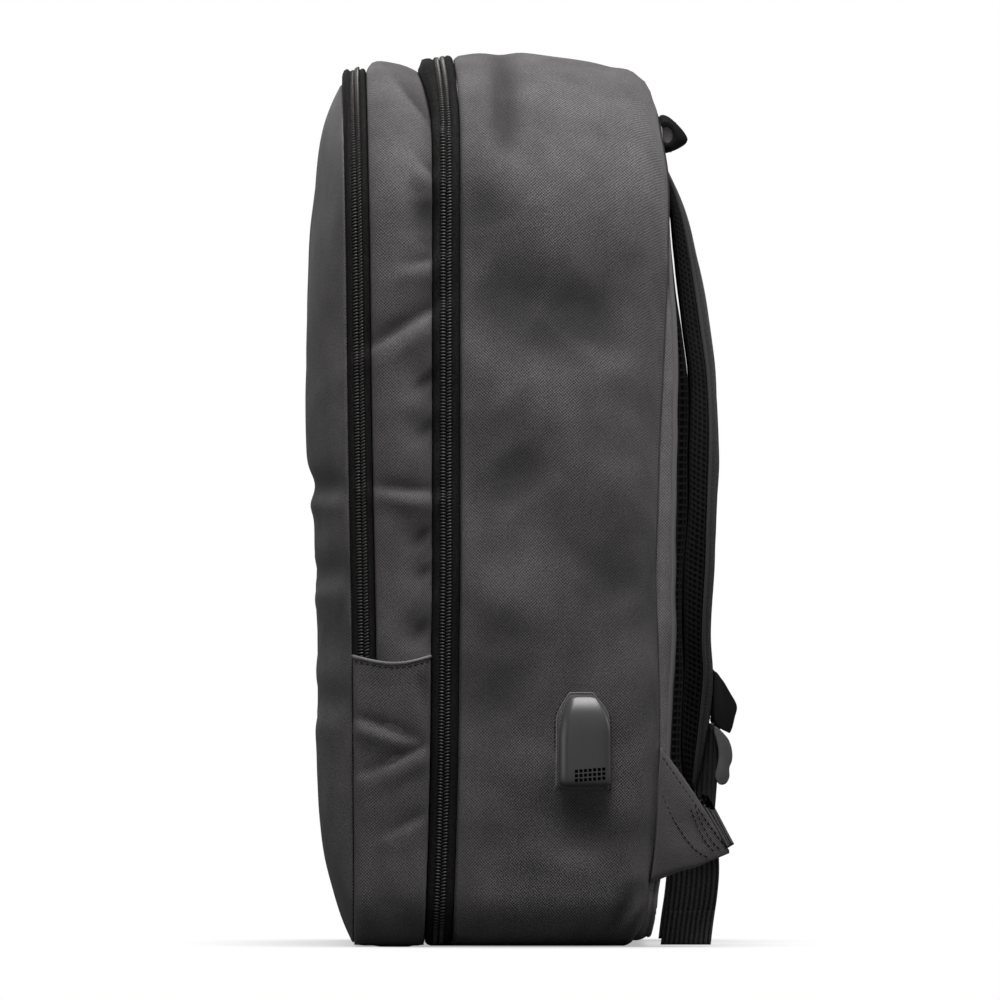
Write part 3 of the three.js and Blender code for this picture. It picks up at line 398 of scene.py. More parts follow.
def speckled(name, dark, light, grain, roughness, relief=0.1, metallic=0.0, gloss=0.5, wear=0.35):
    """A finish on Object coordinates: grain is the size of its specks in millimetres."""
    material, tree, shader = new_material(name)
    place = add_node(tree, "ShaderNodeTexCoord")
    specks = add_node(
        tree,
        "ShaderNodeTexNoise",
        {"Scale": 1000 / grain, "Detail": 3, "Roughness": 0.6},
        {"Vector": place.outputs["Object"]},
    )
    broad = add_node(
        tree,
        "ShaderNodeTexNoise",
        {"Scale": 60, "Detail": 2, "Roughness": 0.5},
        {"Vector": place.outputs["Object"]},
    )
    spread = add_node(
        tree, "ShaderNodeMapRange", {"From Min": 0.3, "From Max": 0.7}, {"Value": specks.outputs["Fac"]}
    )
    colour = add_node(
        tree,
        "ShaderNodeMix",
        {"data_type": "RGBA", 6: linear(dark), 7: linear(light)},
        {0: spread.outputs[0]},
    )
    tree.links.new(colour.outputs[2], shader.inputs["Base Color"])
    rough = add_node(
        tree,
        "ShaderNodeMapRange",
        {"To Min": roughness * (1 - wear / 2), "To Max": min(1.0, roughness * (1 + wear / 2))},
        {"Value": broad.outputs["Fac"]},
    )
    tree.links.new(rough.outputs[0], shader.inputs["Roughness"])
    shader.inputs["Metallic"].default_value = metallic
    shader.inputs["Specular IOR Level"].default_value = gloss
    bump = add_node(
        tree, "ShaderNodeBump", {"Strength": 0.5, "Distance": relief * MM}, {"Height": specks.outputs["Fac"]}
    )
    tree.links.new(bump.outputs[0], shader.inputs["Normal"])
    return material


def ribbed_webbing(name, dark, light):
    """Polyester webbing, woven with lengthwise ribs: each rib's crown catches the light, and the picks across
    it break it into grains."""
    material, tree, shader = new_material(name)
    rib = add_node(tree, "ShaderNodeAttribute", {"attribute_name": "rib"})
    turned = add_node(
        tree, "ShaderNodeMath", {"operation": "MULTIPLY", 1: 2 * math.pi}, {0: rib.outputs["Fac"]}
    )
    crown = add_node(tree, "ShaderNodeMath", {"operation": "COSINE"}, {0: turned.outputs[0]})
    place = add_node(tree, "ShaderNodeTexCoord")
    picks = add_node(
        tree,
        "ShaderNodeTexNoise",
        {"Scale": 1100, "Detail": 2, "Roughness": 0.6},
        {"Vector": place.outputs["Object"]},
    )
    height = add_node(
        tree,
        "ShaderNodeMath",
        {"operation": "MULTIPLY_ADD", 1: 0.3},
        {0: crown.outputs[0], 2: picks.outputs["Fac"]},
    )
    tone = add_node(tree, "ShaderNodeMapRange", {"From Min": 0.15, "From Max": 0.9}, {0: height.outputs[0]})
    colour = add_node(
        tree, "ShaderNodeMix", {"data_type": "RGBA", 6: linear(dark), 7: linear(light)}, {0: tone.outputs[0]}
    )
    tree.links.new(colour.outputs[2], shader.inputs["Base Color"])
    shader.inputs["Roughness"].default_value = 0.75
    shader.inputs["Specular IOR Level"].default_value = 0.3
    bump = add_node(
        tree, "ShaderNodeBump", {"Strength": 0.6, "Distance": 0.25 * MM}, {"Height": height.outputs[0]}
    )
    tree.links.new(bump.outputs[0], shader.inputs["Normal"])
    return material


# Small tools for meshes
def deselect():
    for thing in bpy.context.selected_objects:
        thing.select_set(False)


def only(thing):
    deselect()
    thing.select_set(True)
    bpy.context.view_layer.objects.active = thing


def finish_piece(piece, nodes, slot, *materials):
    """Gives a piece its materials and its body, and hides the imported parts that it stands for. slot is not
    used.
    """
    for material in materials:
        piece.data.materials.append(material)
    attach(piece, "root")
    if nodes:
        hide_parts(*nodes)
    return piece


def new_piece(name, places, faces):
    """A smooth mesh object at the origin, from places in the frame."""
    mesh = bpy.data.meshes.new(name)
    mesh.from_pydata([tuple(p) for p in places], [], faces)
    mesh.shade_smooth()
    piece = bpy.data.objects.new(name, mesh)
    bpy.context.scene.collection.objects.link(piece)
    return piece


def mesh_piece(name, points, faces):
    """A mesh object from points in millimetres from the bag's own zero."""
    placed = np.asarray(points, dtype=float).reshape(-1, 3) * MM + FRAME_SHIFT
    piece = new_piece(name, placed, [tuple(int(i) for i in face) for face in faces])
    piece.data.validate()
    piece.data.update()
    return piece


def grid_faces(rows, columns, round_rows=False, round_columns=False):
    """Quads over a grid of points, row by row."""
    faces = []
    for r in range(rows if round_rows else rows - 1):
        for c in range(columns if round_columns else columns - 1):
            r1, c1 = (r + 1) % rows, (c + 1) % columns
            faces.append((r * columns + c, r * columns + c1, r1 * columns + c1, r1 * columns + c))
    return faces


def tube_faces(rows, columns):
    """Faces of a tube of rings, with a cap at each end."""
    first = tuple(range(columns))
    last = tuple((rows - 1) * columns + c for c in range(columns))
    return grid_faces(rows, columns, round_columns=True) + [first, last]


def grid_uv(piece, grid):
    """A UV map named cloth, in metres along and across the cloth."""
    rows, columns = grid.shape[:2]
    along = np.zeros(rows + 1)
    along[1:rows] = np.cumsum(np.linalg.norm(np.diff(grid[:, columns // 2], axis=0), axis=1))
    along[rows] = along[rows - 1] + np.linalg.norm(grid[0, columns // 2] - grid[-1, columns // 2])
    across = np.zeros(columns + 1)
    across[1:columns] = np.cumsum(np.linalg.norm(np.diff(grid[rows // 2], axis=0), axis=1))
    across[columns] = across[columns - 1] + np.linalg.norm(grid[rows // 2, 0] - grid[rows // 2, -1])
    corners = np.zeros(len(piece.data.loops), int)
    piece.data.loops.foreach_get("vertex_index", corners)
    faces = corners.reshape(-1, 4)
    row, spot = faces // columns, faces % columns
    row = np.where((np.ptp(row, axis=1, keepdims=True) > 1) & (row == 0), rows, row)
    spot = np.where((np.ptp(spot, axis=1, keepdims=True) > 1) & (spot == 0), columns, spot)
    uv = np.stack([along[row], across[spot]], axis=-1) * MM
    piece.data.uv_layers.new(name="cloth").uv.foreach_set("vector", uv.ravel())


def cloth_piece(name, grid, round_rows=False, round_columns=False):
    """A piece from a grid of points in millimetres, with its UV map."""
    rows, columns = grid.shape[:2]
    piece = mesh_piece(name, grid, grid_faces(rows, columns, round_rows, round_columns))
    grid_uv(piece, grid)
    return piece


def paint_fold_shade(piece, creases):
    """Keeps how deep each point lies in a fold, from 0 to 1, as the attribute hollow: the cloth's colour is
    darkened there, a painted shade in the folds.
    """
    hollow = piece.data.attributes.new("hollow", "FLOAT", "POINT")
    hollow.data.foreach_set("value", np.clip(-creases / 4.5, 0, 1).ravel())


def apply(piece, kind, **settings):
    modifier = piece.modifiers.new(kind.lower(), kind)
    for key, value in settings.items():
        setattr(modifier, key, value)
    only(piece)
    bpy.ops.object.modifier_apply(modifier=modifier.name)


def face_outwards(piece):
    only(piece)
    bpy.ops.object.mode_set(mode="EDIT")
    bpy.ops.mesh.select_all(action="SELECT")
    bpy.ops.mesh.normals_make_consistent(inside=False)
    bpy.ops.object.mode_set(mode="OBJECT")


def join(first, *others):
    deselect()
    for other in others:
        other.select_set(True)
    first.select_set(True)
    bpy.context.view_layer.objects.active = first
    bpy.ops.object.join()
    return first


def copies(name, model, places):
    """One mesh of many copies of a small model, each placed by a matrix in the frame."""
    corners = np.array([v.co[:] for v in model.data.vertices])
    faces = [tuple(p.vertices) for p in model.data.polygons]
    points, all_faces = [], []
    for count, place in enumerate(places):
        turn = np.array(place.to_3x3())
        points.append(corners @ turn.T + np.array(place.translation))
        first = count * len(corners)
        all_faces += [tuple(first + i for i in face) for face in faces]
    return new_piece(name, np.concatenate(points), all_faces)


def bead(length, width, height, segments=6, rings=4):
    """A rounded bead along X, sized in millimetres, as a model for teeth and stitches."""
    deselect()
    bpy.ops.mesh.primitive_uv_sphere_add(segments=segments, ring_count=rings, radius=0.5)
    model = bpy.context.object
    bpy.ops.object.mode_set(mode="EDIT")
    bpy.ops.mesh.select_all(action="SELECT")
    bpy.ops.transform.rotate(value=math.pi / 2, orient_axis="Y", center_override=(0, 0, 0))
    bpy.ops.transform.resize(value=(length * MM, width * MM, height * MM))
    bpy.ops.object.mode_set(mode="OBJECT")
    return model


def frame_at(place, ahead, outward):
    """A matrix at a place with its X ahead and its Z outward."""
    x = ahead.normalized()
    z = (outward - outward.dot(x) * x).normalized()
    y = z.cross(x)
    return Matrix.Translation(place) @ Matrix((x, y, z)).transposed().to_4x4()


def row_of_stitches(name, path, outward, pitch=3.2, length=2.4, width=0.75, sink=0.1):
    """Sewing thread along a path in the frame, one bead for each stitch, sunk a little into the cloth."""
    model = bead(length, width, width * 0.8)
    path = [Vector(p) for p in path]
    steps = [0.0]
    for a, b in zip(path, path[1:]):
        steps.append(steps[-1] + (b - a).length)
    count = max(1, int(steps[-1] / (pitch * MM)))
    places = []
    for i in range(count):
        at = (i + 0.5) / count * steps[-1]
        k = min(len(path) - 2, int(np.searchsorted(steps, at, side="right")) - 1)
        share = (at - steps[k]) / max(steps[k + 1] - steps[k], 1e-9)
        normal = Vector(outward[min(k, len(outward) - 1)])
        spot = path[k].lerp(path[k + 1], share) - normal.normalized() * sink * MM
        places.append(frame_at(spot, path[k + 1] - path[k], normal))
    piece = copies(name, model, places)
    bpy.data.objects.remove(model)
    return piece


# The bag's surface
def column(table, key, at, name):
    """A column of a table at places between its rows, on a smooth curve through them."""
    x, y = np.array(table[key], float), np.array(table[name], float)
    slope = np.gradient(y, x)
    at = np.clip(np.asarray(at, float), x[0], x[-1])
    k = np.clip(np.searchsorted(x, at, side="right") - 1, 0, len(x) - 2)
    gap = x[k + 1] - x[k]
    t = (at - x[k]) / gap
    return (
        (2 * t**3 - 3 * t**2 + 1) * y[k]
        + (t**3 - 2 * t**2 + t) * gap * slope[k]
        + (3 * t**2 - 2 * t**3) * y[k + 1]
        + (t**3 - t**2) * gap * slope[k + 1]
    )


def section_at(y, name):
    return column(CROSS_SECTIONS, "along", (np.asarray(y) - FRONT_SEAM) / BODY_DEPTH, name)


def seam_at(z, name):
    return column(SEAM_LINES, "height", np.asarray(z) / BAG_HEIGHT, name)


def folds_at(folds, across, up, width, height):
    """The sum of the folds near places; across and up are in millimetres."""
    total = np.zeros(np.broadcast(across, up).shape)
    for fold in folds:
        start = np.array([fold.along0 * width, fold.height0 * height])
        end = np.array([fold.along1 * width, fold.height1 * height])
        line = end - start
        size = np.hypot(*line)
        a, b = across - start[0], up - start[1]
        held = np.clip((a * line[0] + b * line[1]) / size**2, 0, 1)
        a_away, b_away = a - held * line[0], b - held * line[1]
        away = np.hypot(a_away, b_away) / fold.spread
        above = (b * line[0] - a * line[1]) / size / fold.spread * np.sign(line[0])
        fading = 1 - 0.45 * (2 * held - 1) ** 2
        if fold.sharp:
            side = np.tanh(above * 5)
            ridge = np.exp(-((away - 1.0) ** 2) / 0.7)
            hollow = (1 + side) / 2 * np.exp(-1.1 * away) - fold.lip * (1 - side) / 2 * ridge
        else:
            hollow = np.exp(-(away**2)) - fold.lip * np.exp(-((away - 1.6) ** 2) * 2) * (above < 0)
        total += fold.rise * fading * hollow
    return total


def rumple(points, size, seed):
    """Soft uneven ripples of about a size in millimetres, from -1 to 1: value noise on a fixed lattice."""
    lattice = np.random.default_rng(seed).uniform(-1, 1, (32, 32, 32))
    at = points / size + 16
    cell = np.floor(at).astype(int)
    t = at - cell
    t = t * t * t * (t * (6 * t - 15) + 10)
    total = np.zeros(points.shape[:-1])
    for corner in np.ndindex(2, 2, 2):
        i, j, k = [(cell[..., axis] + corner[axis]) % 32 for axis in range(3)]
        weights = [t[..., axis] if corner[axis] else 1 - t[..., axis] for axis in range(3)]
        total += lattice[i, j, k] * weights[0] * weights[1] * weights[2]
    return total


BASE, BASE_CORNER, SIDE, TOP_CORNER, TOP = range(5)
ZIP_FOOT = 0.2


def rim(y, stops):
    """Points of the cross-section and their outward directions. A stop is a part of the outline, a share of
    the way along it, and 1 for the right side or -1 for the left."""
    half = BAG_WIDTH / 2 * section_at(y, "width")
    top = BAG_HEIGHT * section_at(y, "top")
    part, share = stops[..., 0].astype(int), stops[..., 1]
    sine, cosine = np.sin(share * math.pi / 2), np.cos(share * math.pi / 2)
    x_ways = [
        (half - BASE_RADIUS) * share,
        half - BASE_RADIUS + BASE_RADIUS * sine,
        half,
        half - TOP_RADIUS + TOP_RADIUS * cosine,
        (half - TOP_RADIUS) * (1 - share),
    ]
    z_ways = [
        0,
        BASE_RADIUS * (1 - cosine),
        BASE_RADIUS + (top - TOP_RADIUS - BASE_RADIUS) * share,
        top - TOP_RADIUS + TOP_RADIUS * sine,
        top,
    ]
    x, z = np.choose(part, x_ways), np.choose(part, z_ways)
    return x, z, np.choose(part, [0, sine, 1, cosine, 0]), np.choose(part, [-1, -cosine, 0, sine, 1])


def cloth(y, stops, offset=0.0, inward=0.0, folds=SIDE_FOLDS):
    """Points of the bag's cloth at depths y and stops, an offset outwards, drawn inward to the middle."""
    y = np.asarray(y, float)
    x, z, nx, nz = rim(y, stops)
    top = BAG_HEIGHT * section_at(y, "top")
    rise = np.sin(math.pi * np.clip(z / top, 0, 1))
    in_shell = np.clip(y / SHELL_DEPTH, 0, 1)
    in_gusset = np.clip((y - GUSSET_FRONT) / GUSSET_DEPTH, 0, 1)
    bulge = SIDE_BULGE * (np.sin(math.pi * in_shell) + 0.5 * np.sin(math.pi * in_gusset))
    creases = folds_at(folds, y - FRONT_SEAM, z, BODY_DEPTH, BAG_HEIGHT)
    lying = np.where(np.abs(nz) > np.abs(nx), np.clip(z / BAG_HEIGHT, 0, 1) ** 6, 1)
    push = offset + np.maximum(nx, 0.6 * np.abs(nz)) * creases * (1 - inward) * lying
    push = push + nx * bulge * rise * (1 - inward)
    crown = TOP_CROWN * (x / (BAG_WIDTH / 2)) ** 2 * np.clip(z / BAG_HEIGHT, 0, 1) ** 4
    taper = 1 - TOP_TAPER * (z / BAG_HEIGHT) ** 2
    px = (x + nx * push) * taper * (1 - inward)
    pz = z + nz * push - crown + TOP_LIFT * (z / BAG_HEIGHT) ** 8
    low_rear = np.clip(in_gusset, 0, 1) ** 4 * (y <= GUSSET_REAR) * (y >= GUSSET_FRONT)
    pz = pz - (GUSSET_SINK * (y < GUSSET_REAR) + GUSSET_FALL * low_rear) * (z / BAG_HEIGHT) ** 10
    pz = pz + (top / 2 - pz) * inward
    front = np.clip((GUSSET_REAR - y) / GUSSET_DEPTH, 0, 1)
    main = np.clip(np.minimum((y - GUSSET_FRONT) / GUSSET_DEPTH, 1 - 2 * y / SHELL_DEPTH), 0, 1)
    rear = np.clip(y / SHELL_DEPTH, 0, 1)
    py = (
        y
        + front * seam_at(pz, "slant") * MAIN_ZIP_WIDTH
        + main * seam_at(pz, "lean") * MAIN_ZIP_WIDTH
        + rear * seam_at(pz, "bow") * SHELL_DEPTH
    )
    return np.stack(np.broadcast_arrays(stops[..., 2] * px, py, pz), axis=-1)


def side_stops(y, z, side=1):
    top = BAG_HEIGHT * section_at(y, "top")
    share = (z - BASE_RADIUS) / (top - TOP_RADIUS - BASE_RADIUS)
    return np.stack(np.broadcast_arrays(SIDE, share, side), axis=-1).astype(float)


def round_the_bag(step, foot=None):
    """Stops all the way round from the middle of the base, or over the top from one zip foot to the other."""
    straight = BAG_HEIGHT - TOP_RADIUS - BASE_RADIUS
    first = foot or 0
    ways = [
        (BASE_CORNER, first, max(2, round(BASE_RADIUS * math.pi / 2 * (1 - first) / step))),
        (SIDE, 0, round(straight / step)),
        (TOP_CORNER, 0, round(TOP_RADIUS * math.pi / 2 / step)),
        (TOP, 0, round((BAG_WIDTH / 2 - TOP_RADIUS) / step)),
    ]
    if foot is None:
        ways.insert(0, (BASE, 0, round((BAG_WIDTH / 2 - BASE_RADIUS) / (1.6 * step))))
    up = [(part, start + (1 - start) * i / count, 1) for part, start, count in ways for i in range(count)]
    down = [(part, share, -1) for part, share, _ in reversed(up if foot else up[1:])]
    return np.array(up + [(TOP, 1, 1)] + down, float)


def is_low(stops):
    return (stops[..., 0] == BASE) | ((stops[..., 0] == BASE_CORNER) & (stops[..., 1] <= ZIP_FOOT))


def in_frame(points):
    """Points of the bag in millimetres as places in the frame."""
    return [Vector(p) for p in np.asarray(points, float) * MM + FRAME_SHIFT]


def outward_of(grid):
    """Unit directions out of a grid of points, away from the middle of the bag."""
    d_row = np.gradient(grid, axis=0)
    d_column = np.gradient(grid, axis=1)
    normal = np.cross(d_row, d_column)
    normal /= np.linalg.norm(normal, axis=-1, keepdims=True) + 1e-9
    middle = np.array([0.0, SHELL_DEPTH / 4, BAG_HEIGHT / 2])
    turned = np.sign(np.sum(normal * (grid - middle), axis=-1, keepdims=True))
    return normal * turned


def seam_roll(places, first, last, roll=1.8, width=3.2):
    """How far cloth turns down into the seams at its two edges."""
    near = np.minimum(places - first, last - places)
    return -roll * np.clip(1 - near / width, 0, 1) ** 2


# Pieces of cloth
def band(name, low_front, front, rear, fine, ripple, seed, stuffing=0.0):
    """A hollow band of cloth round the bag between two seams, with its soft ripples. Under the bag it
    starts at low_front."""
    stops = round_the_bag(fine)[:, None]
    inner = np.linspace(0.04, 0.96, max(8, int((rear - front) / fine)))
    shares = np.concatenate([np.linspace(0, 0.04, 4)[:-1], inner, np.linspace(0.96, 1, 4)[1:]])
    start = np.where(is_low(stops), low_front, front)
    places = start + (rear - start) * shares
    full = stuffing * (shares**0.7 * (1 - shares) ** 1.25) / 0.32 * ~is_low(stops)
    grid = cloth(places, stops, seam_roll(places, start, rear) + full)
    held = np.clip(np.minimum(shares, 1 - shares) / 0.12, 0, 1)
    above_floor = np.clip((grid[..., 2] - 4) / 25, 0, 1)
    waves = ripple * (rumple(grid, 46, seed) + 0.5 * rumple(grid * (1, 1, 1.6), 21, seed + 3))
    grid = grid + outward_of(grid) * (waves * held * above_floor)[..., None]
    piece = cloth_piece(name, grid, round_rows=True)
    heights = rim(places, stops)[1]
    # Painted shade: the cloth's colour darkens in its folds.
    paint_fold_shade(piece, folds_at(SIDE_FOLDS, places - FRONT_SEAM, heights, BODY_DEPTH, BAG_HEIGHT))
    turn_outwards(piece)
    apply(piece, "SOLIDIFY", thickness=SHELL_WALL * MM, offset=-1)
    return piece


def turn_outwards(piece):
    """Turns an open cloth so that its faces look away from the bag's middle."""
    middle = Vector((MIDDLE_X, 0, BAG_HEIGHT * MM / 2))
    face = piece.data.polygons[len(piece.data.polygons) // 3]
    if face.normal.dot(face.center - middle) < 0:
        piece.data.flip_normals()


def main_shell(material):
    low_front = GUSSET_REAR + SEAM_GAP
    piece = band("main_shell_cloth", low_front, SEAM_GAP / 2, SHELL_DEPTH, fine=3.0, ripple=0.8, seed=1)
    return finish_piece(piece, ["main_shell"], "body_cloth", material)


def middle_gusset(material):
    low_front, rear = FRONT_SEAM + SEAM_GAP, GUSSET_REAR - SEAM_GAP / 2
    front = GUSSET_FRONT + SEAM_GAP / 2
    piece = band("middle_gusset_cloth", low_front, front, rear, fine=2.2, ripple=0.9, seed=4, stuffing=3.2)
    return finish_piece(piece, ["middle_gusset"], "body_cloth", material)


def front_panel(material):
    """The domed front: rings that run inwards from the front zip's seam to the middle."""
    stops = round_the_bag(3.2)[None]
    near = np.linspace(0, 1, 14) ** 1.6 * 0.12
    inwards = np.concatenate([near, np.linspace(0.12, 0.97, 44)[1:]])[:, None]
    grid = cloth(FRONT_SEAM, stops, -1.6 * np.clip(1 - inwards / 0.012, 0, 1) ** 2, inwards)
    rise = 1 - (1 - np.clip(inwards / 0.5, 0, 1)) ** 3
    creases = folds_at(FRONT_FOLDS, grid[..., 0], grid[..., 2], BAG_WIDTH / 2, BAG_HEIGHT)
    waves = 0.8 * rumple(grid, 52, 7) + 0.4 * rumple(grid, 24, 8)
    grid[..., 1] -= rise * FRONT_DEPTH * seam_at(grid[..., 2], "belly")
    grid[..., 1] -= np.clip(inwards / 0.06, 0, 1) * creases + np.clip(inwards / 0.1, 0, 1) * waves
    rows, columns = grid.shape[:2]
    points = np.concatenate([grid.reshape(-1, 3), grid[-1].mean(axis=0)[None]])
    last = (rows - 1) * columns
    faces = grid_faces(rows, columns, round_columns=True)
    faces += [(last + c, last + (c + 1) % columns, rows * columns) for c in range(columns)]
    piece = mesh_piece("front_panel_cloth", points, faces)
    # Painted shade: the cloth's colour darkens in its folds.
    paint_fold_shade(piece, 1.6 * np.append(creases.ravel(), 0))
    flat_uv(piece, turning=1)
    if piece.data.polygons[len(piece.data.polygons) // 2].normal.y > 0:
        piece.data.flip_normals()
    apply(piece, "SOLIDIFY", thickness=SHELL_WALL * MM, offset=-1)
    return finish_piece(piece, ["front_panel"], "front_cloth", material)


def flat_uv(piece, across=(1, 0, 0), turning=0):
    """A UV map named cloth from places seen flat: across by a mixture of axes, and up. With turning it
    follows cloth that turns back at both sides."""
    points = np.zeros(len(piece.data.vertices) * 3)
    piece.data.vertices.foreach_get("co", points)
    corners = np.zeros(len(piece.data.loops), int)
    piece.data.loops.foreach_get("vertex_index", corners)
    spots = points.reshape(-1, 3)[corners]
    turned = turning * spots[:, 1] * np.tanh((spots[:, 0] - MIDDLE_X) / 0.04)
    uv = np.stack([spots @ np.array(across, float) + turned, spots[:, 2]], axis=-1)
    piece.data.uv_layers.new(name="cloth").uv.foreach_set("vector", uv.ravel())


def side_pocket(side, word, material, binding, thread):
    """The low pocket: sewn down at both sides and at the foot, slack between, with a folded hem that sags."""
    front, rear = FRONT_SEAM + SEAM_GAP, GUSSET_REAR - SEAM_GAP
    edge = np.linspace(0, 0.06, 4)
    across = np.concatenate([edge[:-1], np.linspace(0.06, 0.94, 26), 1 - edge[::-1][1:]])[None]
    places = front + (rear - front) * across
    slack = 0.3 + 2.9 * np.clip(np.minimum(across, 1 - across) / 0.07, 0, 1) ** 0.6
    corner = np.linspace(0.16, 0.98, 12)[:, None]
    corner_stops = np.stack(np.broadcast_arrays(BASE_CORNER, corner, side), axis=-1).astype(float)
    foot = cloth(places, corner_stops, slack * (0.4 + 0.6 * corner) + POCKET_WALL)
    heights = np.linspace(BASE_RADIUS, POCKET_HEIGHT, 60)[:, None]
    climbed = (heights - BASE_RADIUS) / (POCKET_HEIGHT - BASE_RADIUS)
    sag = 0.72 * POCKET_SAG * np.sin(math.pi * across) * climbed
    upper = cloth(places, side_stops(places, heights - sag, side), slack + POCKET_WALL)
    grid = np.concatenate([foot, upper])
    out = outward_of(grid)
    depth = GUSSET_REAR - FRONT_SEAM
    creases = folds_at(POCKET_FOLDS, places - FRONT_SEAM, grid[..., 2], depth, POCKET_HEIGHT)
    held = np.clip(np.minimum(across, 1 - across) / 0.1, 0.12, 1)
    below_hem = np.clip((POCKET_HEIGHT - grid[..., 2] - 6) / 8, 0.15, 1)
    waves = 0.7 * rumple(grid, 26, 11 + side)
    grid = grid + out * ((creases + waves) * held * below_hem)[..., None]
    grid[..., 2] = np.maximum(grid[..., 2], 0.5)
    piece = cloth_piece(f"side_pocket_cloth_{word}", grid)
    # Painted shade: the cloth's colour darkens in its folds.
    paint_fold_shade(piece, creases)
    turn_outwards(piece)
    apply(piece, "SOLIDIFY", thickness=1.2 * MM, offset=-1)
    finish_piece(piece, [f"side_pocket_{word}"], "pocket_cloth", material)
    hem = rope(f"pocket_hem_{word}", in_frame(grid[-1] - out[-1] * 0.2), 0.95)
    finish_piece(hem, [], "pocket_cloth", binding)
    low = in_frame(grid[-2] + out[-2] * 0.25)
    stitches = row_of_stitches(f"pocket_stitches_{word}", low[1:-1], list(out[-2][1:-1]), pitch=3.0)
    finish_piece(stitches, [], "pocket_cloth", thread)
    return piece


def rope(name, path, radius, sides=8, flat=1.0):
    """A round tube along a path in the frame, with closed ends; radius is in millimetres."""
    path = [Vector(p) for p in path]
    points = []
    up = Vector((0.37, 0.21, 0.9))
    for i, spot in enumerate(path):
        ahead = (path[min(i + 1, len(path) - 1)] - path[max(i - 1, 0)]).normalized()
        across = ahead.cross(up).normalized()
        over = across.cross(ahead).normalized()
        for k in range(sides):
            angle = 2 * math.pi * k / sides
            r = radius * MM
            points.append(spot + across * r * math.cos(angle) + over * r * flat * math.sin(angle))
    piece = new_piece(name, points, tube_faces(len(path), sides))
    face_outwards(piece)
    return piece


# Zips
def zip_fastener(name, front, rear, spill, lift, tape_material, tooth_material):
    """Two tapes with lips that nearly close over a coil, and the coil's teeth in two columns. At the top the
    front tape spills forward over the cloth before it."""
    foot = ZIP_FOOT + 0.02
    middle = (front + rear) / 2
    half = (rear - front) / 2
    # Across the tape, as shares of its half width, and the height of its face in millimetres
    profile = [
        (-1.03, -3.4), (-1.0, -1.4), (-0.95, -0.3), (-0.84, 0.6), (-0.66, 1.1), (-0.52, 1.0), (-0.42, 0.3),
        (-0.2, -0.1), (0.0, -0.3), (0.2, -0.1), (0.42, 0.3), (0.52, 1.0), (0.66, 1.1),
        (0.84, 0.6), (0.95, -0.3), (1.0, -1.4), (1.03, -3.4),
    ]
    stops = round_the_bag(3.0, foot)[:, None]
    places = np.array([middle + share * half for share, _ in profile])
    heights = np.array([height for _, height in profile])
    grid = cloth(places, stops, heights)
    spread = np.clip((grid[..., 2] / BAG_HEIGHT - 0.9) / 0.09, 0, 1) ** 2
    shares = np.array([share for share, _ in profile])
    grid[..., 1] -= spread * np.clip(-shares, 0, 1) ** 2 * spill
    grid[..., 2] -= spread * (shares < -0.9) * spill * 0.7
    grid[..., 2] += spread * np.clip(-shares + 0.4, 0, 1.4) * lift * (shares > -1.02)
    tape = cloth_piece(f"{name}_tape", grid)
    turn_outwards(tape)
    apply(tape, "SOLIDIFY", thickness=0.8 * MM, offset=-1)
    finish_piece(tape, [name], "zip", tape_material)
    stops = round_the_bag(1.5, foot)
    line, beside, above = [cloth(middle + aside, stops, up) for aside, up in ((0, 0.6), (1, 0.6), (0, 2))]
    for edge in (line, beside, above):
        edge[:, 2] += np.clip((edge[:, 2] / BAG_HEIGHT - 0.9) / 0.09, 0, 1) ** 2 * lift * 0.4
    lengths = np.concatenate([[0], np.cumsum(np.linalg.norm(np.diff(line, axis=0), axis=1))])
    count = int(lengths[-1] / ZIP_PITCH)
    model = bead(2.9, 1.05, 1.5, segments=6, rings=4)
    places = []
    for side in (-1, 1):
        for i in range(count):
            at = (i + 0.5 + 0.25 * side) * ZIP_PITCH
            spot, aside, over = [
                np.array([np.interp(at, lengths, edge[:, k]) for k in range(3)])
                for edge in (line, beside, above)
            ]
            across, outward = aside - spot, over - spot
            centre = spot + across / np.linalg.norm(across) * side * 1.55
            along = Vector(np.cross(outward, across)).normalized()
            slant = Vector(across).normalized() + along * 0.16 * side
            places.append(frame_at(in_frame([centre])[0], slant, Vector(outward)))
    teeth = copies(f"{name}_teeth", model, places)
    bpy.data.objects.remove(model)
    finish_piece(teeth, [], "zip", tooth_material)
    return tape


def block(place, size, bevel=0.0):
    """A box at a place in the frame, with rounded edges where a bevel is given."""
    deselect()
    bpy.ops.mesh.primitive_cube_add(size=1, location=place)
    piece = bpy.context.object
    bpy.ops.object.mode_set(mode="EDIT")
    bpy.ops.transform.resize(value=size, center_override=place)
    if bevel:
        bpy.ops.mesh.bevel(offset=bevel, segments=3, affect="EDGES")
    bpy.ops.object.mode_set(mode="OBJECT")
    return piece


def carve(piece, tool, material_mode="INDEX"):
    """Cuts a tool's shape out of a piece."""
    cut = piece.modifiers.new("cut", "BOOLEAN")
    cut.operation = "DIFFERENCE"
    cut.object = tool
    cut.solver = "EXACT"
    cut.material_mode = material_mode
    only(piece)
    bpy.ops.object.modifier_apply(modifier=cut.name)
    bpy.data.objects.remove(tool)
    smooth_by_angle(piece, 40)


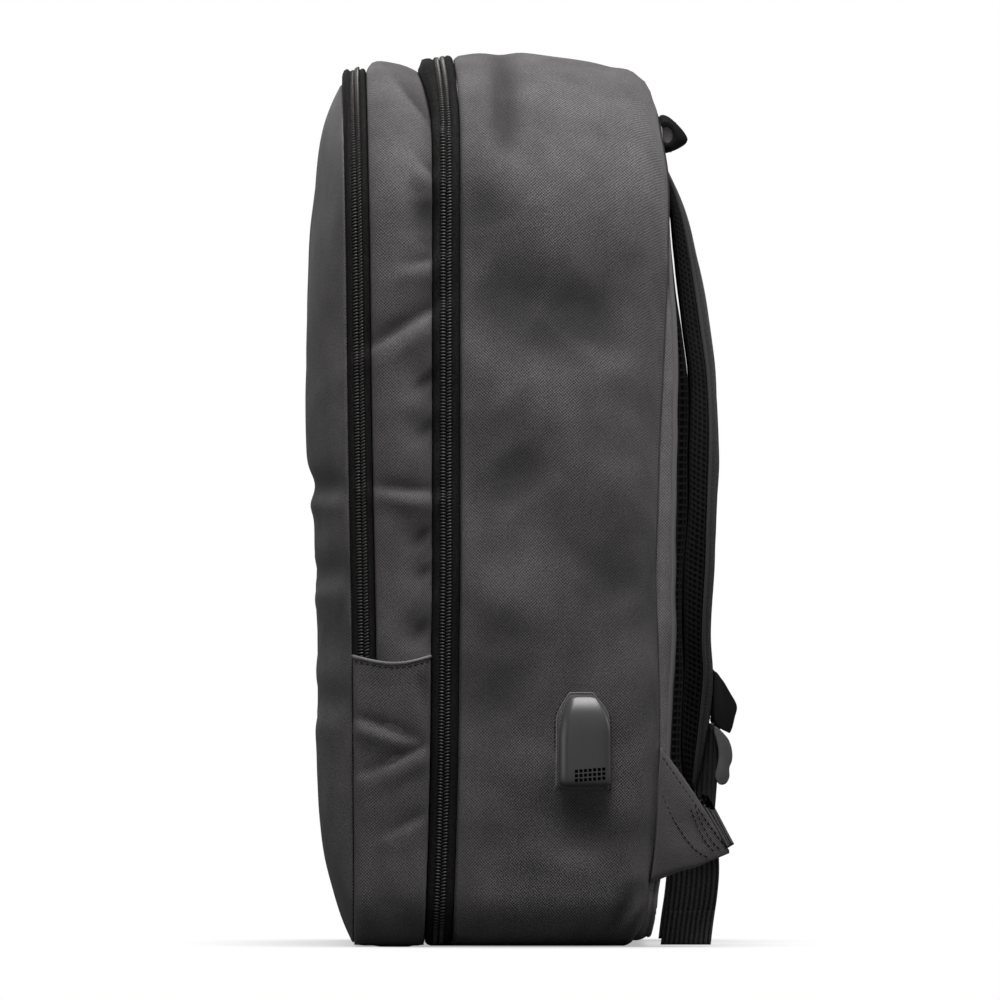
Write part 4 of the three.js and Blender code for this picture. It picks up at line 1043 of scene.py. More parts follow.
def zip_slider(name, material):
    """A cast slider with its bridge and a flat puller, on the left side."""
    low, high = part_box(name)
    centre = (low + high) / 2
    body_height = 13 * MM
    body_z = high.z - body_height / 2
    body = block((high.x - 1.5 * MM, centre.y, body_z), (3 * MM, 9 * MM, body_height), 1.1 * MM)
    body.name = f"{name}_body"
    bpy.ops.object.transform_apply(location=True, rotation=True, scale=True)
    puller_top = body_z + 3 * MM
    middle = (low.x + 0.9 * MM, centre.y, (puller_top + low.z) / 2)
    puller = block(middle, (1.6 * MM, 7 * MM, puller_top - low.z), 0.7 * MM)
    bpy.ops.object.transform_apply(location=True, rotation=True, scale=True)
    deselect()
    bpy.ops.mesh.primitive_torus_add(
        location=(low.x + 1.4 * MM, centre.y, body_z),
        rotation=(math.pi / 2, 0, 0),
        major_radius=2.6 * MM,
        minor_radius=0.7 * MM,
        major_segments=20,
        minor_segments=8,
    )
    bridge = bpy.context.object
    bpy.ops.object.transform_apply(location=True, rotation=True, scale=True)
    join(body, puller, bridge)
    smooth_by_angle(body)
    return finish_piece(body, [name], "slider_metal", material)


def smooth_by_angle(piece, degrees=35):
    only(piece)
    bpy.ops.object.shade_smooth_by_angle(angle=math.radians(degrees))


# Charging port
def port_patch(material, rim_material, thread):
    """The stitched patch under the port cover, on the cloth of the right side."""
    low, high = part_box("usb_surround")
    middle_y = ((low.y + high.y) / 2 - FRONT_EDGE_Y) / MM - 0.4
    middle_z = (low.z + high.z) / 2 / MM + 0.5
    half_width, half_height = (high.y - low.y) / 2 / MM - 2.6, (high.z - low.z) / 2 / MM - 3.0
    up = np.linspace(-1, 1, 23)[:, None]
    across = np.linspace(0, 1, 15)[None]
    shoulder = np.clip((up - 0.45) / 0.55, 0, 1)
    left = -half_width * (1 - 0.52 * shoulder**1.5)
    right = half_width * (1 - 0.62 * shoulder**1.5)
    y = middle_y + left + (right - left) * across
    z = middle_z + up * half_height
    edge = np.minimum(np.minimum(across, 1 - across), (1 - np.abs(up)) / 2)
    grid = cloth(y, side_stops(y, z), 0.4 + np.clip(edge / 0.06, 0, 1) ** 0.5)
    piece = cloth_piece("port_patch_cloth", grid)
    turn_outwards(piece)
    apply(piece, "SOLIDIFY", thickness=1.0 * MM, offset=-1)
    finish_piece(piece, ["usb_surround"], "patch_cloth", material)
    outline = np.concatenate([grid[:, 0], grid[-1, 1:], grid[::-1, -1][1:]])
    welt = rope("port_patch_rim", in_frame(outline), 0.45)
    finish_piece(welt, [], "patch_cloth", rim_material)
    centre = np.array([0.0, middle_y, middle_z])
    outer = outline - (centre - outline) * np.array([0, 0.07, 0.035])
    path = in_frame(outer)
    stitches = row_of_stitches(
        "port_patch_stitches", path, [(1, 0, 0)], pitch=2.4, length=1.9, width=0.9, sink=0.5
    )
    finish_piece(stitches, [], "patch_cloth", thread)


def port_cover(material, painted_hole_shade):
    """The moulded cover: a slanting shoulder at its top, a side wall in front and a vent of square holes."""
    low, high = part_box("usb_cover")
    low, high = low - Vector((0, 2.6, -0.3)) * MM, high + Vector((0, 3.4, 0.6)) * MM
    width, height = (high.y - low.y), (high.z - low.z)
    thickness = 6.2 * MM
    base_x = low.x
    # Rows from the foot up: height share, front and rear edges as shares of the width, thickness share
    rows = [
        (0.0, 0.08, 0.95, 0.5), (0.015, 0.04, 0.98, 0.84), (0.05, 0.0, 1.0, 1.0), (0.3, 0.0, 1.0, 1.0),
        (0.55, 0.0, 1.0, 1.0), (0.64, 0.02, 1.0, 0.99), (0.72, 0.04, 0.97, 0.94), (0.79, 0.07, 0.93, 0.84),
        (0.86, 0.11, 0.88, 0.69), (0.92, 0.16, 0.82, 0.48), (0.965, 0.2, 0.76, 0.27), (1.0, 0.25, 0.7, 0.06),
    ]
    columns = [
        (0.0, 0.0), (0.02, 0.45), (0.1, 0.8), (0.17, 0.97), (0.24, 1.0), (0.6, 1.0), (0.9, 1.0), (0.97, 0.86),
        (1.0, 0.5), (1.0, 0.0),
    ]
    points = []
    for up, front, rear, thick in rows:
        for across, rise in columns:
            y = low.y + width * (front + (rear - front) * across)
            z = low.z + height * up
            x = base_x + thickness * thick * rise
            points.append((x, y, z))
    count = len(columns)
    last = (len(rows) - 1) * count
    front_edge = [r * count for r in range(len(rows))]
    rear_edge = [r * count + count - 1 for r in reversed(range(len(rows)))]
    ends = [tuple(range(count)), tuple(last + c for c in range(count)), tuple(front_edge + rear_edge)]
    piece = new_piece("port_cover_shell", points, grid_faces(len(rows), count) + ends)
    piece.data.materials.append(material)
    face_outwards(piece)
    apply(piece, "SUBSURF", levels=3, render_levels=3)
    vent = vent_cutter(low, base_x + thickness)
    # The vent holes' walls take the near-black hole material: painted shade.
    vent.data.materials.append(painted_hole_shade)
    carve(piece, vent, material_mode="TRANSFER")
    return finish_piece(piece, ["usb_cover"], "cover_plastic")


def vent_cutter(low, face_x):
    """Square prongs, three rows of seven that climb slightly to the rear."""
    columns, rows = 7, 3
    pitch, hole = 2.3 * MM, 1.6 * MM
    prongs = []
    for row in range(rows):
        for place in range(columns):
            y = low.y + 9.4 * MM + place * pitch
            z = low.z + 2.2 * MM + row * pitch + 0.08 * (y - low.y)
            prongs.append(block((face_x, y, z), (3.4 * MM, hole, hole)))
    return join(prongs[0], *prongs[1:])


# Back
def back_edge_y(z):
    return SHELL_DEPTH * seam_at(z, "panel")


def back_panel(cloth_material, welt_material, mesh_material, painted_hole_shade):
    """The padded back: a cloth edge, a bound seam, and air mesh over three pads parted by channels."""
    stops = round_the_bag(4.0)
    fit = -SHELL_WALL - SEAM_GAP
    profile = [(8.5, 0.0), (5.4, 0.0), (4.0, -0.2), (2.6, -0.7), (1.4, -1.4), (0.5, -2.2), (0.0, -3.2)]
    rings = []
    for behind, roll in profile:
        ring = cloth(SHELL_DEPTH, stops, fit + roll, folds=[])
        ring[:, 1] = back_edge_y(ring[:, 2]) - behind
        rings.append(ring)
    grid = np.array(rings)
    grid[..., 1] += 0.5 * rumple(grid, 16, 21)
    edge = cloth_piece("back_panel_edge", grid.transpose(1, 0, 2), round_rows=True)
    turn_outwards(edge)
    apply(edge, "SOLIDIFY", thickness=1.2 * MM, offset=-1)
    finish_piece(edge, [], "body_cloth", cloth_material)
    welt = rope("back_panel_binding", in_frame(np.concatenate([grid[-1], grid[-1][:1]])), 1.7)
    finish_piece(welt, [], "body_cloth", welt_material)
    face = air_mesh_face(grid[-1])
    finish_piece(face, ["back_panel"], "air_mesh", mesh_material, painted_hole_shade)
    return face


def air_mesh_face(outline):
    """Air mesh on the back: rows of small square cells, each let in as a hole, between the bound edges."""
    cell = 3.6
    right = outline[outline[:, 0] >= -0.01]
    right = right[np.argsort(right[:, 2])]
    low, high = right[0, 2] + 0.3, right[-1, 2] - 0.3
    sides = right[(right[:, 0] > BAG_WIDTH / 2 - TOP_RADIUS - 1) | (right[:, 2] < BAG_HEIGHT / 2)]
    z = np.linspace(low, high, int((high - low) / cell) + 1)[:, None]
    half = np.interp(z, sides[:, 2], sides[:, 0])
    share = np.linspace(-1, 1, int(2 * half.max() / cell) + 1)[None]
    x = half * share
    reach = np.minimum(half - np.abs(x), np.minimum(z - low, high - z))
    standoff = STRAP_STANDOFF * column(STRAP_SECTIONS, "height", z / BAG_HEIGHT, "off")
    middle = np.clip((44 - np.abs(x)) / 14, 0, 1) * np.clip((z - 58) / 18, 0, 1)
    crown = 1.3 * np.clip(reach / 9, 0, 1) * np.clip((0.78 - z / BAG_HEIGHT) * 12, 0, 1)
    fullness = 0.93 + 0.13 * np.clip((330 - z) / 15, 0, 1)
    crown = np.maximum(crown, fullness * standoff * (3 * middle**2 - 2 * middle**3))
    upright = CHANNEL_DEPTH * np.clip(1 - (x / (CHANNEL_WIDTH / 2)) ** 2, 0, 1)
    share_z = z / BAG_HEIGHT
    upright = upright * np.clip((0.7 - share_z) * 14, 0, 1) * np.clip((share_z - 0.1) * 14, 0, 1)
    away = [np.abs(z - share_up * BAG_HEIGHT) / (CHANNEL_WIDTH / 2) for share_up in (0.3, 0.54)]
    across = CHANNEL_DEPTH * np.clip(1 - np.minimum(*away) ** 2, 0, 1)
    across = across * np.clip((0.41 * BAG_WIDTH - np.abs(x)) / 10, 0, 1)
    across = across * np.clip((np.abs(x) - 44) / 12, 0, 1)
    y = back_edge_y(z) + crown - np.maximum(upright, across) - 0.4
    grid = np.stack(np.broadcast_arrays(x, y, z), axis=-1)
    rows, columns = grid.shape[:2]
    cells = grid_faces(rows, columns)
    spots = np.arange(rows * columns).reshape(rows, columns)
    border = np.concatenate([spots[0, :-1], spots[:-1, -1], spots[-1, :0:-1], spots[:0:-1, 0]])
    skirt = grid.reshape(-1, 3)[border] - np.array([0, 6.0, 0])
    rim_count = len(border)
    first = rows * columns
    sides = [
        (border[i], border[(i + 1) % rim_count], first + (i + 1) % rim_count, first + i)
        for i in range(rim_count)
    ]
    cap = tuple(first + i for i in range(rim_count))
    piece = mesh_piece("back_panel_mesh", np.concatenate([grid.reshape(-1, 3), skirt]), cells + sides + [cap])
    face_outwards(piece)
    open_cells(piece, 0.62, 0.7, lambda face: face.index < len(cells) and face.area > 6 * MM * MM)
    return piece


def open_cells(piece, rim_width, depth, chosen, hole_shade_slot=1):
    """Lets in each chosen cell of a mesh fabric as a small hole whose floor takes the near-black hole
    material, a painted shade.
    """
    only(piece)
    for face in piece.data.polygons:
        face.select = chosen(face)
    bpy.ops.object.mode_set(mode="EDIT")
    bpy.ops.mesh.select_mode(type="FACE")
    bpy.ops.object.mode_set(mode="OBJECT")
    for face in piece.data.polygons:
        face.select = chosen(face)
    bpy.ops.object.mode_set(mode="EDIT")
    bpy.ops.mesh.inset(use_individual=True, thickness=rim_width * MM, depth=-depth * MM)
    bpy.ops.object.mode_set(mode="OBJECT")
    for face in piece.data.polygons:
        if face.select:
            face.material_index = hole_shade_slot


def shoulder_strap(side, word, cloth_material, mesh_material, painted_hole_shade, thread):
    """A padded strap: cloth on its outer face, spacer mesh round its edges and its inner face."""
    heights = np.linspace(STRAP_SECTIONS["height"][0], STRAP_SECTIONS["height"][-1], 112)
    z = heights * BAG_HEIGHT
    inner = back_edge_y(z) + SEAM_GAP + STRAP_STANDOFF * column(STRAP_SECTIONS, "height", heights, "off")
    thickness = STRAP_THICKNESS * column(STRAP_SECTIONS, "height", heights, "thick")
    width = STRAP_WIDTH * column(STRAP_SECTIONS, "height", heights, "wide")
    x = STRAP_TOP_X + (STRAP_FOOT_X - STRAP_TOP_X) * column(STRAP_SECTIONS, "height", heights, "swing")
    # The strap's section: across as a share of its width, face as a share of its thickness
    outer = [(-0.485, 0.72), (-0.46, 0.9), (-0.42, 0.98)]
    outer += [(share, 1.0 + 0.03 * math.cos(share * math.pi)) for share in np.linspace(-0.38, 0.38, 17)]
    outer += [(0.42, 0.98), (0.46, 0.9), (0.485, 0.72)]
    wall = [(0.5, 0.6), (0.5, 0.42), (0.495, 0.24), (0.475, 0.08)]
    under = [(share, 0.0) for share in np.linspace(0.44, -0.44, 17)]
    other = [(-across, face) for across, face in reversed(wall)]
    section = outer + wall + under + other
    grid = np.array(
        [
            [
                (side * (x[i] + across * width[i]), inner[i] + face * thickness[i], z[i])
                for across, face in section
            ]
            for i in range(len(z))
        ]
    )
    slant = np.array([0.0] * len(outer) + [1.2, 2.4, 3.6, 4.8] + [5.4] * len(under) + [4.8, 3.6, 2.4, 1.2])
    from_ends = np.minimum(heights - heights[0], heights[-1] - heights)
    grid[..., 2] += slant * np.clip(from_ends * 12, 0, 1)[:, None]
    ripple = 0.35 * rumple(grid, 24, 30 + side)
    grid[..., 1] += ripple * np.clip(thickness / STRAP_THICKNESS, 0, 1)[:, None] * 1.4
    rows, columns = grid.shape[:2]
    piece = mesh_piece(f"strap_pad_{word}", grid, tube_faces(rows, columns))
    flat_uv(piece)
    face_outwards(piece)
    first_wall = len(outer)
    finish_piece(piece, [f"strap_{word}"], "strap_mesh", cloth_material, mesh_material, painted_hole_shade)
    mesh_faces = set()
    for face in piece.data.polygons:
        columns_here = {v % columns for v in face.vertices}
        closes = 0 in columns_here and max(columns_here) > first_wall
        if len(face.vertices) == 4 and (min(columns_here) >= first_wall - 1 or closes):
            face.material_index = 1
            mesh_faces.add(face.index)
    open_cells(piece, 0.5, 0.7, lambda face: face.index in mesh_faces, hole_shade_slot=2)
    for edge_name, at in (("inner", 2), ("outer", len(outer) - 3)):
        path = in_frame(grid[3:-3, at])
        stitches = row_of_stitches(f"strap_stitches_{edge_name}_{word}", path, [(0, 1, 0.1)], pitch=3.6)
        finish_piece(stitches, [], "strap_mesh", thread)
    for edge_name, at in (("inner", 0), ("outer", len(outer) - 1)):
        path = in_frame(grid[1:-1, at])
        piping = rope(f"strap_binding_{edge_name}_{word}", path, 0.9, sides=8)
        finish_piece(piping, [], "strap_mesh", cloth_material)
    return piece


def top_handle(material, wrap_material, thread):
    """The padded grab loop: a flat tube that swells in its middle and narrows to its sewn ends."""
    low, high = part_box("top_handle")
    half = (high.x - low.x) / 2
    middle_z = (low.z + high.z) / 2 + 6.0 * MM
    # Its section, in millimetres out from the bag and up from its middle: a beak that droops outwards
    beak = [
        (-1.0, 8.6), (1.0, 10.6), (4.4, 9.6), (8.0, 6.6), (11.4, 2.9), (13.6, -0.4), (14.0, -2.4),
        (12.2, -4.2), (8.6, -6.2), (4.6, -7.7), (0.6, -8.4), (-1.2, -7.4), (-1.4, -3.0), (-1.4, 3.0),
    ]
    angles = np.linspace(2.3, 2.3 - 2 * math.pi, len(beak), endpoint=False)
    oval = [
        (3.2 + 4.9 * math.cos(a) + 1.3 * math.sin(a), 0.2 - 2.4 * math.cos(a) + 6.4 * math.sin(a))
        for a in angles
    ]
    beak, oval = smooth_loop(beak, 3), smooth_loop(oval, 3)
    count = 48
    grid = []
    for i in range(count + 1):
        share = 2 * i / count - 1
        rolled = np.clip((1 - abs(share)) / 0.3, 0, 1)
        rolled = rolled * rolled * (3 - 2 * rolled)
        section = oval + (beak - oval) * rolled
        at = np.full(len(section), MIDDLE_X + share * half)
        grid.append(np.stack([at, low.y + section[:, 0] * MM, middle_z + section[:, 1] * MM], axis=1))
    eyes = []
    for end in (0, count):
        centre = grid[end].mean(axis=0)
        sunk = np.array([2.5 * MM * (1 if end == 0 else -1), 0, 0])
        eyes.append(centre + (grid[end] - centre) * 0.6 + sunk)
    grid = (np.array([eyes[0]] + grid + [eyes[1]]) - FRAME_SHIFT) / MM
    grid[2:-2, :, 1] += 0.3 * rumple(grid[2:-2], 12, 41)
    piece = mesh_piece("top_handle_pad", grid, tube_faces(*grid.shape[:2]))
    face_outwards(piece)
    finish_piece(piece, ["top_handle"], "handle_cloth", material, wrap_material)
    for face in piece.data.polygons:
        if len(face.vertices) > 4:
            face.material_index = 1
    for row_name, at in (("upper", 9), ("lower", 26)):
        path = in_frame(grid[6:-6, at])
        stitches = row_of_stitches(f"handle_stitches_{row_name}", path, [(0, 1, 0.3)], pitch=3.4)
        finish_piece(stitches, [], "handle_cloth", thread)
    return piece


def smooth_loop(points, steps):
    """More points on a smooth closed line through a few."""
    points = np.array(points, float)
    before, after, later = [np.roll(points, -shift, axis=0) for shift in (-1, 1, 2)]
    fine = []
    for step in range(steps):
        t = step / steps
        fine.append(
            0.5
            * (
                2 * points
                + (after - before) * t
                + (2 * before - 5 * points + 4 * after - later) * t**2
                + (3 * points - before - 3 * after + later) * t**3
            )
        )
    return np.stack(fine, axis=1).reshape(-1, 2)


# Webbing and buckles
def strap_outer_y(z):
    share = z / BAG_HEIGHT
    off = STRAP_STANDOFF * column(STRAP_SECTIONS, "height", share, "off")
    thickness = STRAP_THICKNESS * column(STRAP_SECTIONS, "height", share, "thick")
    return back_edge_y(z) + SEAM_GAP + off + thickness


def hung(out, down):
    return float(strap_outer_y(TAB_TOP)) + out * WEBBING_WIDTH, TAB_TOP - down * WEBBING_WIDTH


def outline_piece(name, outline, centre_x, width, bevel, smooth_steps=4):
    """A side outline given its width along X, its long edges rounded; smooth_steps rounds the outline."""
    flat = np.array([hung(out, down) for out, down in zip(outline["out"], outline["down"])])
    fine = smooth_loop(flat, smooth_steps)
    points = [((centre_x - width / 2) * MM + MIDDLE_X, y * MM + FRONT_EDGE_Y, z * MM) for y, z in fine]
    piece = new_piece(name, points, [tuple(range(len(points)))])
    only(piece)
    bpy.ops.object.mode_set(mode="EDIT")
    bpy.ops.mesh.select_all(action="SELECT")
    bpy.ops.mesh.extrude_region_move(TRANSFORM_OT_translate={"value": (width * MM, 0, 0)})
    bpy.ops.mesh.select_all(action="SELECT")
    bpy.ops.mesh.normals_make_consistent(inside=False)
    bpy.ops.object.mode_set(mode="OBJECT")
    apply(piece, "BEVEL", width=bevel * MM, segments=3, limit_method="ANGLE", angle_limit=math.radians(50))
    smooth_by_angle(piece, 50)
    return piece


def strap_tab(side, word, material, thread):
    """The loop of cloth that holds the ladder lock: a soft leaf with a turned edge."""
    piece = outline_piece(f"strap_tab_cloth_{word}", TAB_OUTLINE, side * STRAP_FOOT_X, 27, 1.6, 5)
    flat_uv(piece, (1, 1, 0))
    finish_piece(piece, [f"strap_tab_{word}"], "tab_cloth", material)
    x0 = (side * STRAP_FOOT_X - 11) * MM + MIDDLE_X
    y0, z0 = hung(0.3, 0.33)
    path = [Vector((x0 + i * 2.2 * MM, y0 * MM + FRONT_EDGE_Y, z0 * MM)) for i in range(11)]
    stitches = row_of_stitches(f"tab_stitches_{word}", path, [(0, 1, 0.7)], pitch=2.6, length=2.0, sink=-0.2)
    finish_piece(stitches, [], "tab_cloth", thread)
    return piece


def ladder_lock(side, word, material):
    """A moulded ladder lock: a bent frame with two slots for the webbing."""
    centre = side * STRAP_FOOT_X
    piece = outline_piece(f"ladder_lock_body_{word}", LOCK_OUTLINE, centre, LOCK_WIDTH, 0.9, 4)
    for down in (1.36, 1.72):
        y, z = hung(0.2, down)
        place = (centre * MM + MIDDLE_X, y * MM + FRONT_EDGE_Y, z * MM)
        carve(piece, block(place, (26.5 * MM, 26 * MM, 4 * MM)))
    return finish_piece(piece, [f"ladder_lock_{word}"], "lock_plastic", material)


def webbing_strip(name, path, across, width, thickness=WEBBING_THICKNESS, ribs=10, rise=0.18):
    """Woven webbing along a path of points in millimetres; its ribs run lengthwise. across is one direction
    for each point."""
    path, across = np.array(path, float), np.array(across, float)
    ahead = np.gradient(path, axis=0)
    ahead /= np.linalg.norm(ahead, axis=1, keepdims=True)
    through = np.cross(ahead, across)
    through /= np.linalg.norm(through, axis=1, keepdims=True)
    shares = np.linspace(-0.5, 0.5, ribs * 4 + 1)
    ribbed = rise * np.cos(shares * ribs * 2 * math.pi) * (np.abs(shares) < 0.47)
    section = [(share, thickness / 2 + lift) for share, lift in zip(shares, ribbed)]
    section += [(share, -thickness / 2 - lift) for share, lift in zip(shares[::-1], ribbed[::-1])]
    grid = np.array(
        [
            [path[i] + across[i] * share * width + through[i] * lift for share, lift in section]
            for i in range(len(path))
        ]
    )
    rows, columns = grid.shape[:2]
    piece = mesh_piece(name, grid, tube_faces(rows, columns))
    ribs_across = piece.data.attributes.new("rib", "FLOAT", "POINT")
    ribs_across.data.foreach_set("value", np.tile([share * ribs for share, _ in section], rows))
    face_outwards(piece)
    return piece


def smooth_path(points, count):
    """A smooth line through a few points."""
    places = np.arange(len(points))
    at = np.linspace(0, len(points) - 1, count)
    tables = [{"place": places, "value": values} for values in np.array(points, float).T]
    return np.stack([column(table, "place", at, "value") for table in tables], axis=1)


def webbing_tail(side, word, material):
    """The free end: it hangs from the lock, turns a quarter behind the wing and ends at the floor in a
    folded, stitched hem."""
    shares = np.linspace(TAIL_SECTIONS["height"][-1], TAIL_SECTIONS["height"][0], 60)
    back = column(TAIL_SECTIONS, "height", shares, "back") * WING_REACH + SHELL_DEPTH
    turn = column(TAIL_SECTIONS, "height", shares, "turn") * math.pi / 2
    path = np.stack([np.full_like(shares, side * TAIL_X), back, np.maximum(shares * WING_TOP, 0.45)], axis=1)
    across = np.stack([np.cos(turn) * side, np.sin(turn), np.zeros_like(turn)], axis=1)
    piece = webbing_strip(f"webbing_tail_band_{word}", path, across, WEBBING_WIDTH)
    hem = webbing_strip(
        f"webbing_tail_hem_{word}",
        path[-12:] + np.array([side * 1.6, 0.0, 0.0]),
        across[-12:],
        WEBBING_WIDTH - 0.8,
        thickness=1.2,
    )
    join(piece, hem)
    finish_piece(piece, [f"webbing_tail_{word}"], "webbing", material)
    return piece


def lower_webbing(side, word, material):
    """The webbing from the lock to the wing in four layers, and the roll that it hangs from."""
    x = side * STRAP_FOOT_X
    lines = [
        [(-0.2, 1.2), (-0.22, 1.6), (-0.26, 2.1), (-0.29, 2.5)],
        [(-0.11, 1.0), (-0.13, 1.6), (-0.16, 2.1), (-0.19, 2.6)],
        [(-0.03, 1.05), (-0.04, 1.6), (-0.06, 2.1), (-0.1, 2.66)],
        [(0.05, 1.1), (0.05, 1.7), (0.03, 2.2), (-0.01, 2.7)],
    ]
    layers = []
    for count, line in enumerate(lines):
        path = smooth_path([(x, *hung(out, down)) for out, down in line], 24)
        across = [(1, 0, 0)] * len(path)
        layers.append(webbing_strip(f"lower_webbing_{count}_{word}", path, across, WEBBING_WIDTH, 2.4))
    roll_y, roll_z = hung(0.14, 0.97)
    ends = [(x + end * WEBBING_WIDTH / 2, roll_y, roll_z) for end in np.linspace(-1, 1, 9)]
    roll = rope(f"webbing_roll_{word}", in_frame(ends), 3.3, sides=14)
    roll_ribs = roll.data.attributes.new("rib", "FLOAT", "POINT")
    roll_ribs.data.foreach_set("value", np.linspace(0, 6, len(roll.data.vertices)))
    piece = join(layers[0], *layers[1:], roll)
    piece.name = f"lower_webbing_band_{word}"
    return finish_piece(piece, [f"lower_webbing_{word}"], "webbing", material)


def wing_point(side, along, up, offset=0.0):
    """A place on the wing: along from its seam to its tip, up from its lower edge to its upper one."""
    along, up = np.asarray(along, float), np.asarray(up, float)
    upper = WING_TOP + (WING_TIP - WING_TOP) * along + WING_BOW * np.sin(math.pi * along)
    lower = WING_TIP - (WING_TIP - WING_FOOT) * column(WING_FOOT_LINE, "along", along, "drop")
    z = lower + (upper - lower) * up
    seam = cloth(SHELL_DEPTH, side_stops(SHELL_DEPTH, np.maximum(z, BASE_RADIUS), side), -1.2, folds=[])
    seam_x, seam_y = np.abs(seam[..., 0]), seam[..., 1] + SEAM_GAP
    y = seam_y + (SHELL_DEPTH + WING_REACH - seam_y) * along
    x = seam_x + (WING_TIP_X - seam_x) * along + offset
    return np.stack(np.broadcast_arrays(side * x, y, z), axis=-1)


def above_wing(along, height):
    """A place over the wing's upper edge, height millimetres off it."""
    ends = wing_point(1, np.array([along - 0.02, along + 0.02]), np.array([1.0, 1.0]))[:, 1:]
    edge = (ends[1] - ends[0]) / np.linalg.norm(ends[1] - ends[0])
    spot = ends.mean(axis=0)
    return spot[0] - edge[1] * height, spot[1] + edge[0] * height


def webbing_stub(side, word, material):
    """Folded webbing sewn along the outer end of the wing's upper edge, in three layers."""
    x = side * STRAP_FOOT_X
    layers = []
    for count, (first, low, high) in enumerate(((0.57, 0.9, 0.6), (0.545, 2.9, 1.9), (0.56, 4.5, 2.9))):
        alongs = np.linspace(first, 0.98, 7)
        heights = np.linspace(low, high, 7)
        spots = [(x, *above_wing(along, height)) for along, height in zip(alongs, heights)]
        path = smooth_path(spots, 22)
        across = [(1, 0, 0)] * len(path)
        layers.append(webbing_strip(f"stub_layer_{count}_{word}", path, across, WEBBING_WIDTH))
    piece, *upper_layers = layers
    piece.name = f"webbing_stub_band_{word}"
    join(piece, *upper_layers)
    return finish_piece(piece, [f"webbing_stub_{word}"], "webbing", material)


def wing(side, word, material, thread):
    """The cloth gusset at the foot of the back: two layers, padded at the middle, with two rows of stitches
    and a long bar tack."""
    alongs = np.linspace(0, 1, 30)
    ups = np.linspace(0, 1, 18)
    grid = wing_point(side, alongs[:, None], ups[None])
    edge = np.minimum(ups, 1 - ups)
    puff = 1.6 * np.clip(edge / 0.25, 0, 1) ** 0.5
    pucker = 0.7 * rumple(grid, 15, 50 + side)
    face = grid.copy()
    face[..., 0] += side * (puff[None] * 0.6 + pucker * np.clip(edge / 0.2, 0, 1)[None] + 1.2)
    back = grid.copy()
    back[..., 0] -= side * (puff[None] * 0.4 + 1.0)
    closed = np.concatenate([face, back[:, ::-1]], axis=1)
    piece = mesh_piece(f"wing_cloth_{word}", closed, tube_faces(*closed.shape[:2]))
    flat_uv(piece, (0, 1, 0))
    face_outwards(piece)
    finish_piece(piece, [f"wing_{word}"], "wing_cloth", material)
    rows_of_thread = []
    for label, a0, u0, a1, u1 in (
        ("upper", 0.03, 0.94, 0.97, 0.8),
        ("second", 0.03, 0.66, 0.72, 0.12),
        ("tack_front", 0.42, 0.8, 0.8, 0.25),
        ("tack_rear", 0.5, 0.86, 0.88, 0.36),
    ):
        path = []
        for t in np.linspace(0, 1, 16):
            a, u = a0 + (a1 - a0) * t, u0 + (u1 - u0) * t
            spot = wing_point(side, a, u)
            spot[0] += side * (1.3 + 0.6 * 1.6 * min(1.0, min(u, 1 - u) / 0.25) ** 0.5)
            path += in_frame([spot])
        name = f"wing_stitches_{label}_{word}"
        row = row_of_stitches(name, path, [(side, 0.3, 0)], pitch=2.9, length=2.2, sink=0)
        rows_of_thread.append(row)
    stitches = join(*rows_of_thread)
    finish_piece(stitches, [], "wing_cloth", thread)
    return piece


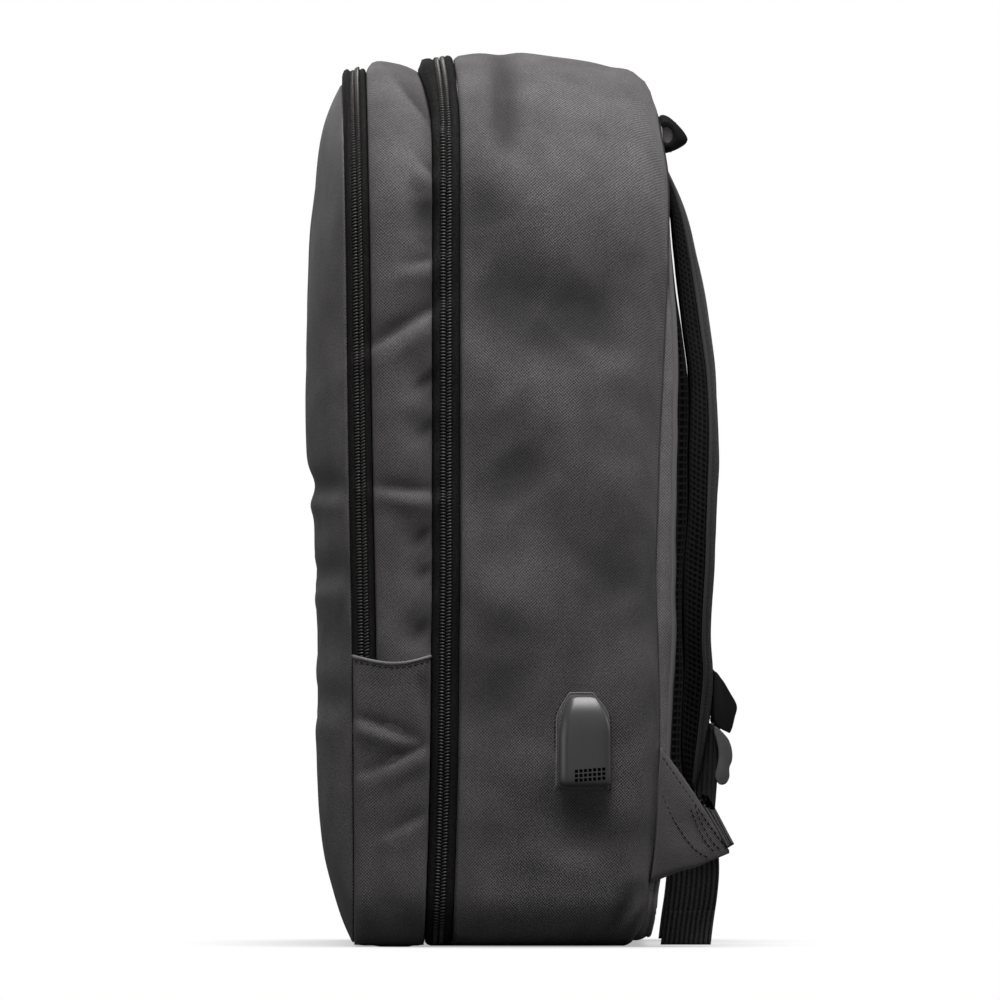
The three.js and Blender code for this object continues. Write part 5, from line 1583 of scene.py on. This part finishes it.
def build():
    body = woven_polyester("woven_polyester_body", "211F20", "646163")
    front = woven_polyester("woven_polyester_front", "242223", "666364")
    edge = woven_polyester("woven_polyester_back_edge", "474445", "7C7879")
    strap_cloth = woven_polyester("woven_polyester_strap", "0A0909", "252324")
    wing_cloth = woven_polyester("woven_polyester_wing", "413E3F", "5A5758", thread=1.3, mottle=0.3)
    hem = speckled("folded_polyester_hem", "545253", "737172", 1.0, 0.6, 0.05)
    thread = speckled("polyester_thread", "101010", "222121", 0.6, 0.7, 0.05, gloss=0.3)
    tape = speckled("woven_zip_tape", "000000", "1F1E1E", 1.1, 0.9, 0.35, gloss=0.15)
    teeth = speckled("nylon_zip_coil", "232120", "3F3D3B", 0.8, 0.36, 0.02)
    spacer = speckled("knitted_spacer_mesh", "030303", "0E0E0E", 0.7, 0.95, 0.2, gloss=0.2)
    air_mesh = speckled("knitted_air_mesh_back", "090909", "1F1E1E", 0.7, 0.9, 0.2, gloss=0.3)
    # Near-black floors of the mesh cells and walls of the vent holes: painted shade in the holes.
    hollow = speckled("painted_shade_in_holes", "010101", "030303", 0.7, 0.95, 0.1, gloss=0.1)
    handle = speckled("brushed_polyester_handle", "050505", "121111", 0.8, 0.8, 0.2, gloss=0.15)
    handle_lining = speckled("handle_end_lining", "343233", "474445", 0.8, 0.85, 0.2, gloss=0.3)
    webbing = ribbed_webbing("polyester_webbing", "131212", "565455")
    # A darker copy of the webbing for the layers from the lock to the wing: painted shade.
    webbing_painted_in_shade = ribbed_webbing("polyester_webbing_in_shade", "060606", "1F1E1E")
    tab = speckled("coated_polyester_tab", "050505", "0C0C0C", 0.9, 0.5, 0.08, gloss=0.25)
    lock = speckled("moulded_acetal_lock", "444343", "525151", 0.7, 0.36, 0.02)
    cover = speckled("moulded_soft_touch_cover", "3D3C3C", "454444", 0.6, 0.38, 0.015)
    metal = speckled("painted_zinc_slider", "1E1E1E", "2A2A2A", 0.5, 0.38, 0.01, metallic=0.6)

    main_shell(body)
    middle_gusset(body)
    front_panel(front)
    zip_fastener("main_zip", GUSSET_REAR + SEAM_GAP / 2, -SEAM_GAP / 2, 4.5, 0, tape, teeth)
    zip_fastener("front_zip", FRONT_SEAM + SEAM_GAP / 2, GUSSET_FRONT - SEAM_GAP / 2, 0.8, 5.5, tape, teeth)
    zip_slider("main_zip_slider", metal)
    zip_slider("front_zip_slider", metal)
    port_patch(front, hem, thread)
    port_cover(cover, hollow)
    back_panel(edge, body, air_mesh, hollow)
    top_handle(handle, handle_lining, thread)
    for side, word in ((1, "right"), (-1, "left")):
        side_pocket(side, word, body, hem, thread)
        shoulder_strap(side, word, strap_cloth, spacer, hollow, thread)
        strap_tab(side, word, tab, thread)
        ladder_lock(side, word, lock)
        lower_webbing(side, word, webbing_painted_in_shade)
        webbing_stub(side, word, webbing)
        webbing_tail(side, word, webbing)
        wing(side, word, wing_cloth, thread)


add_camera()
add_studio()
build()
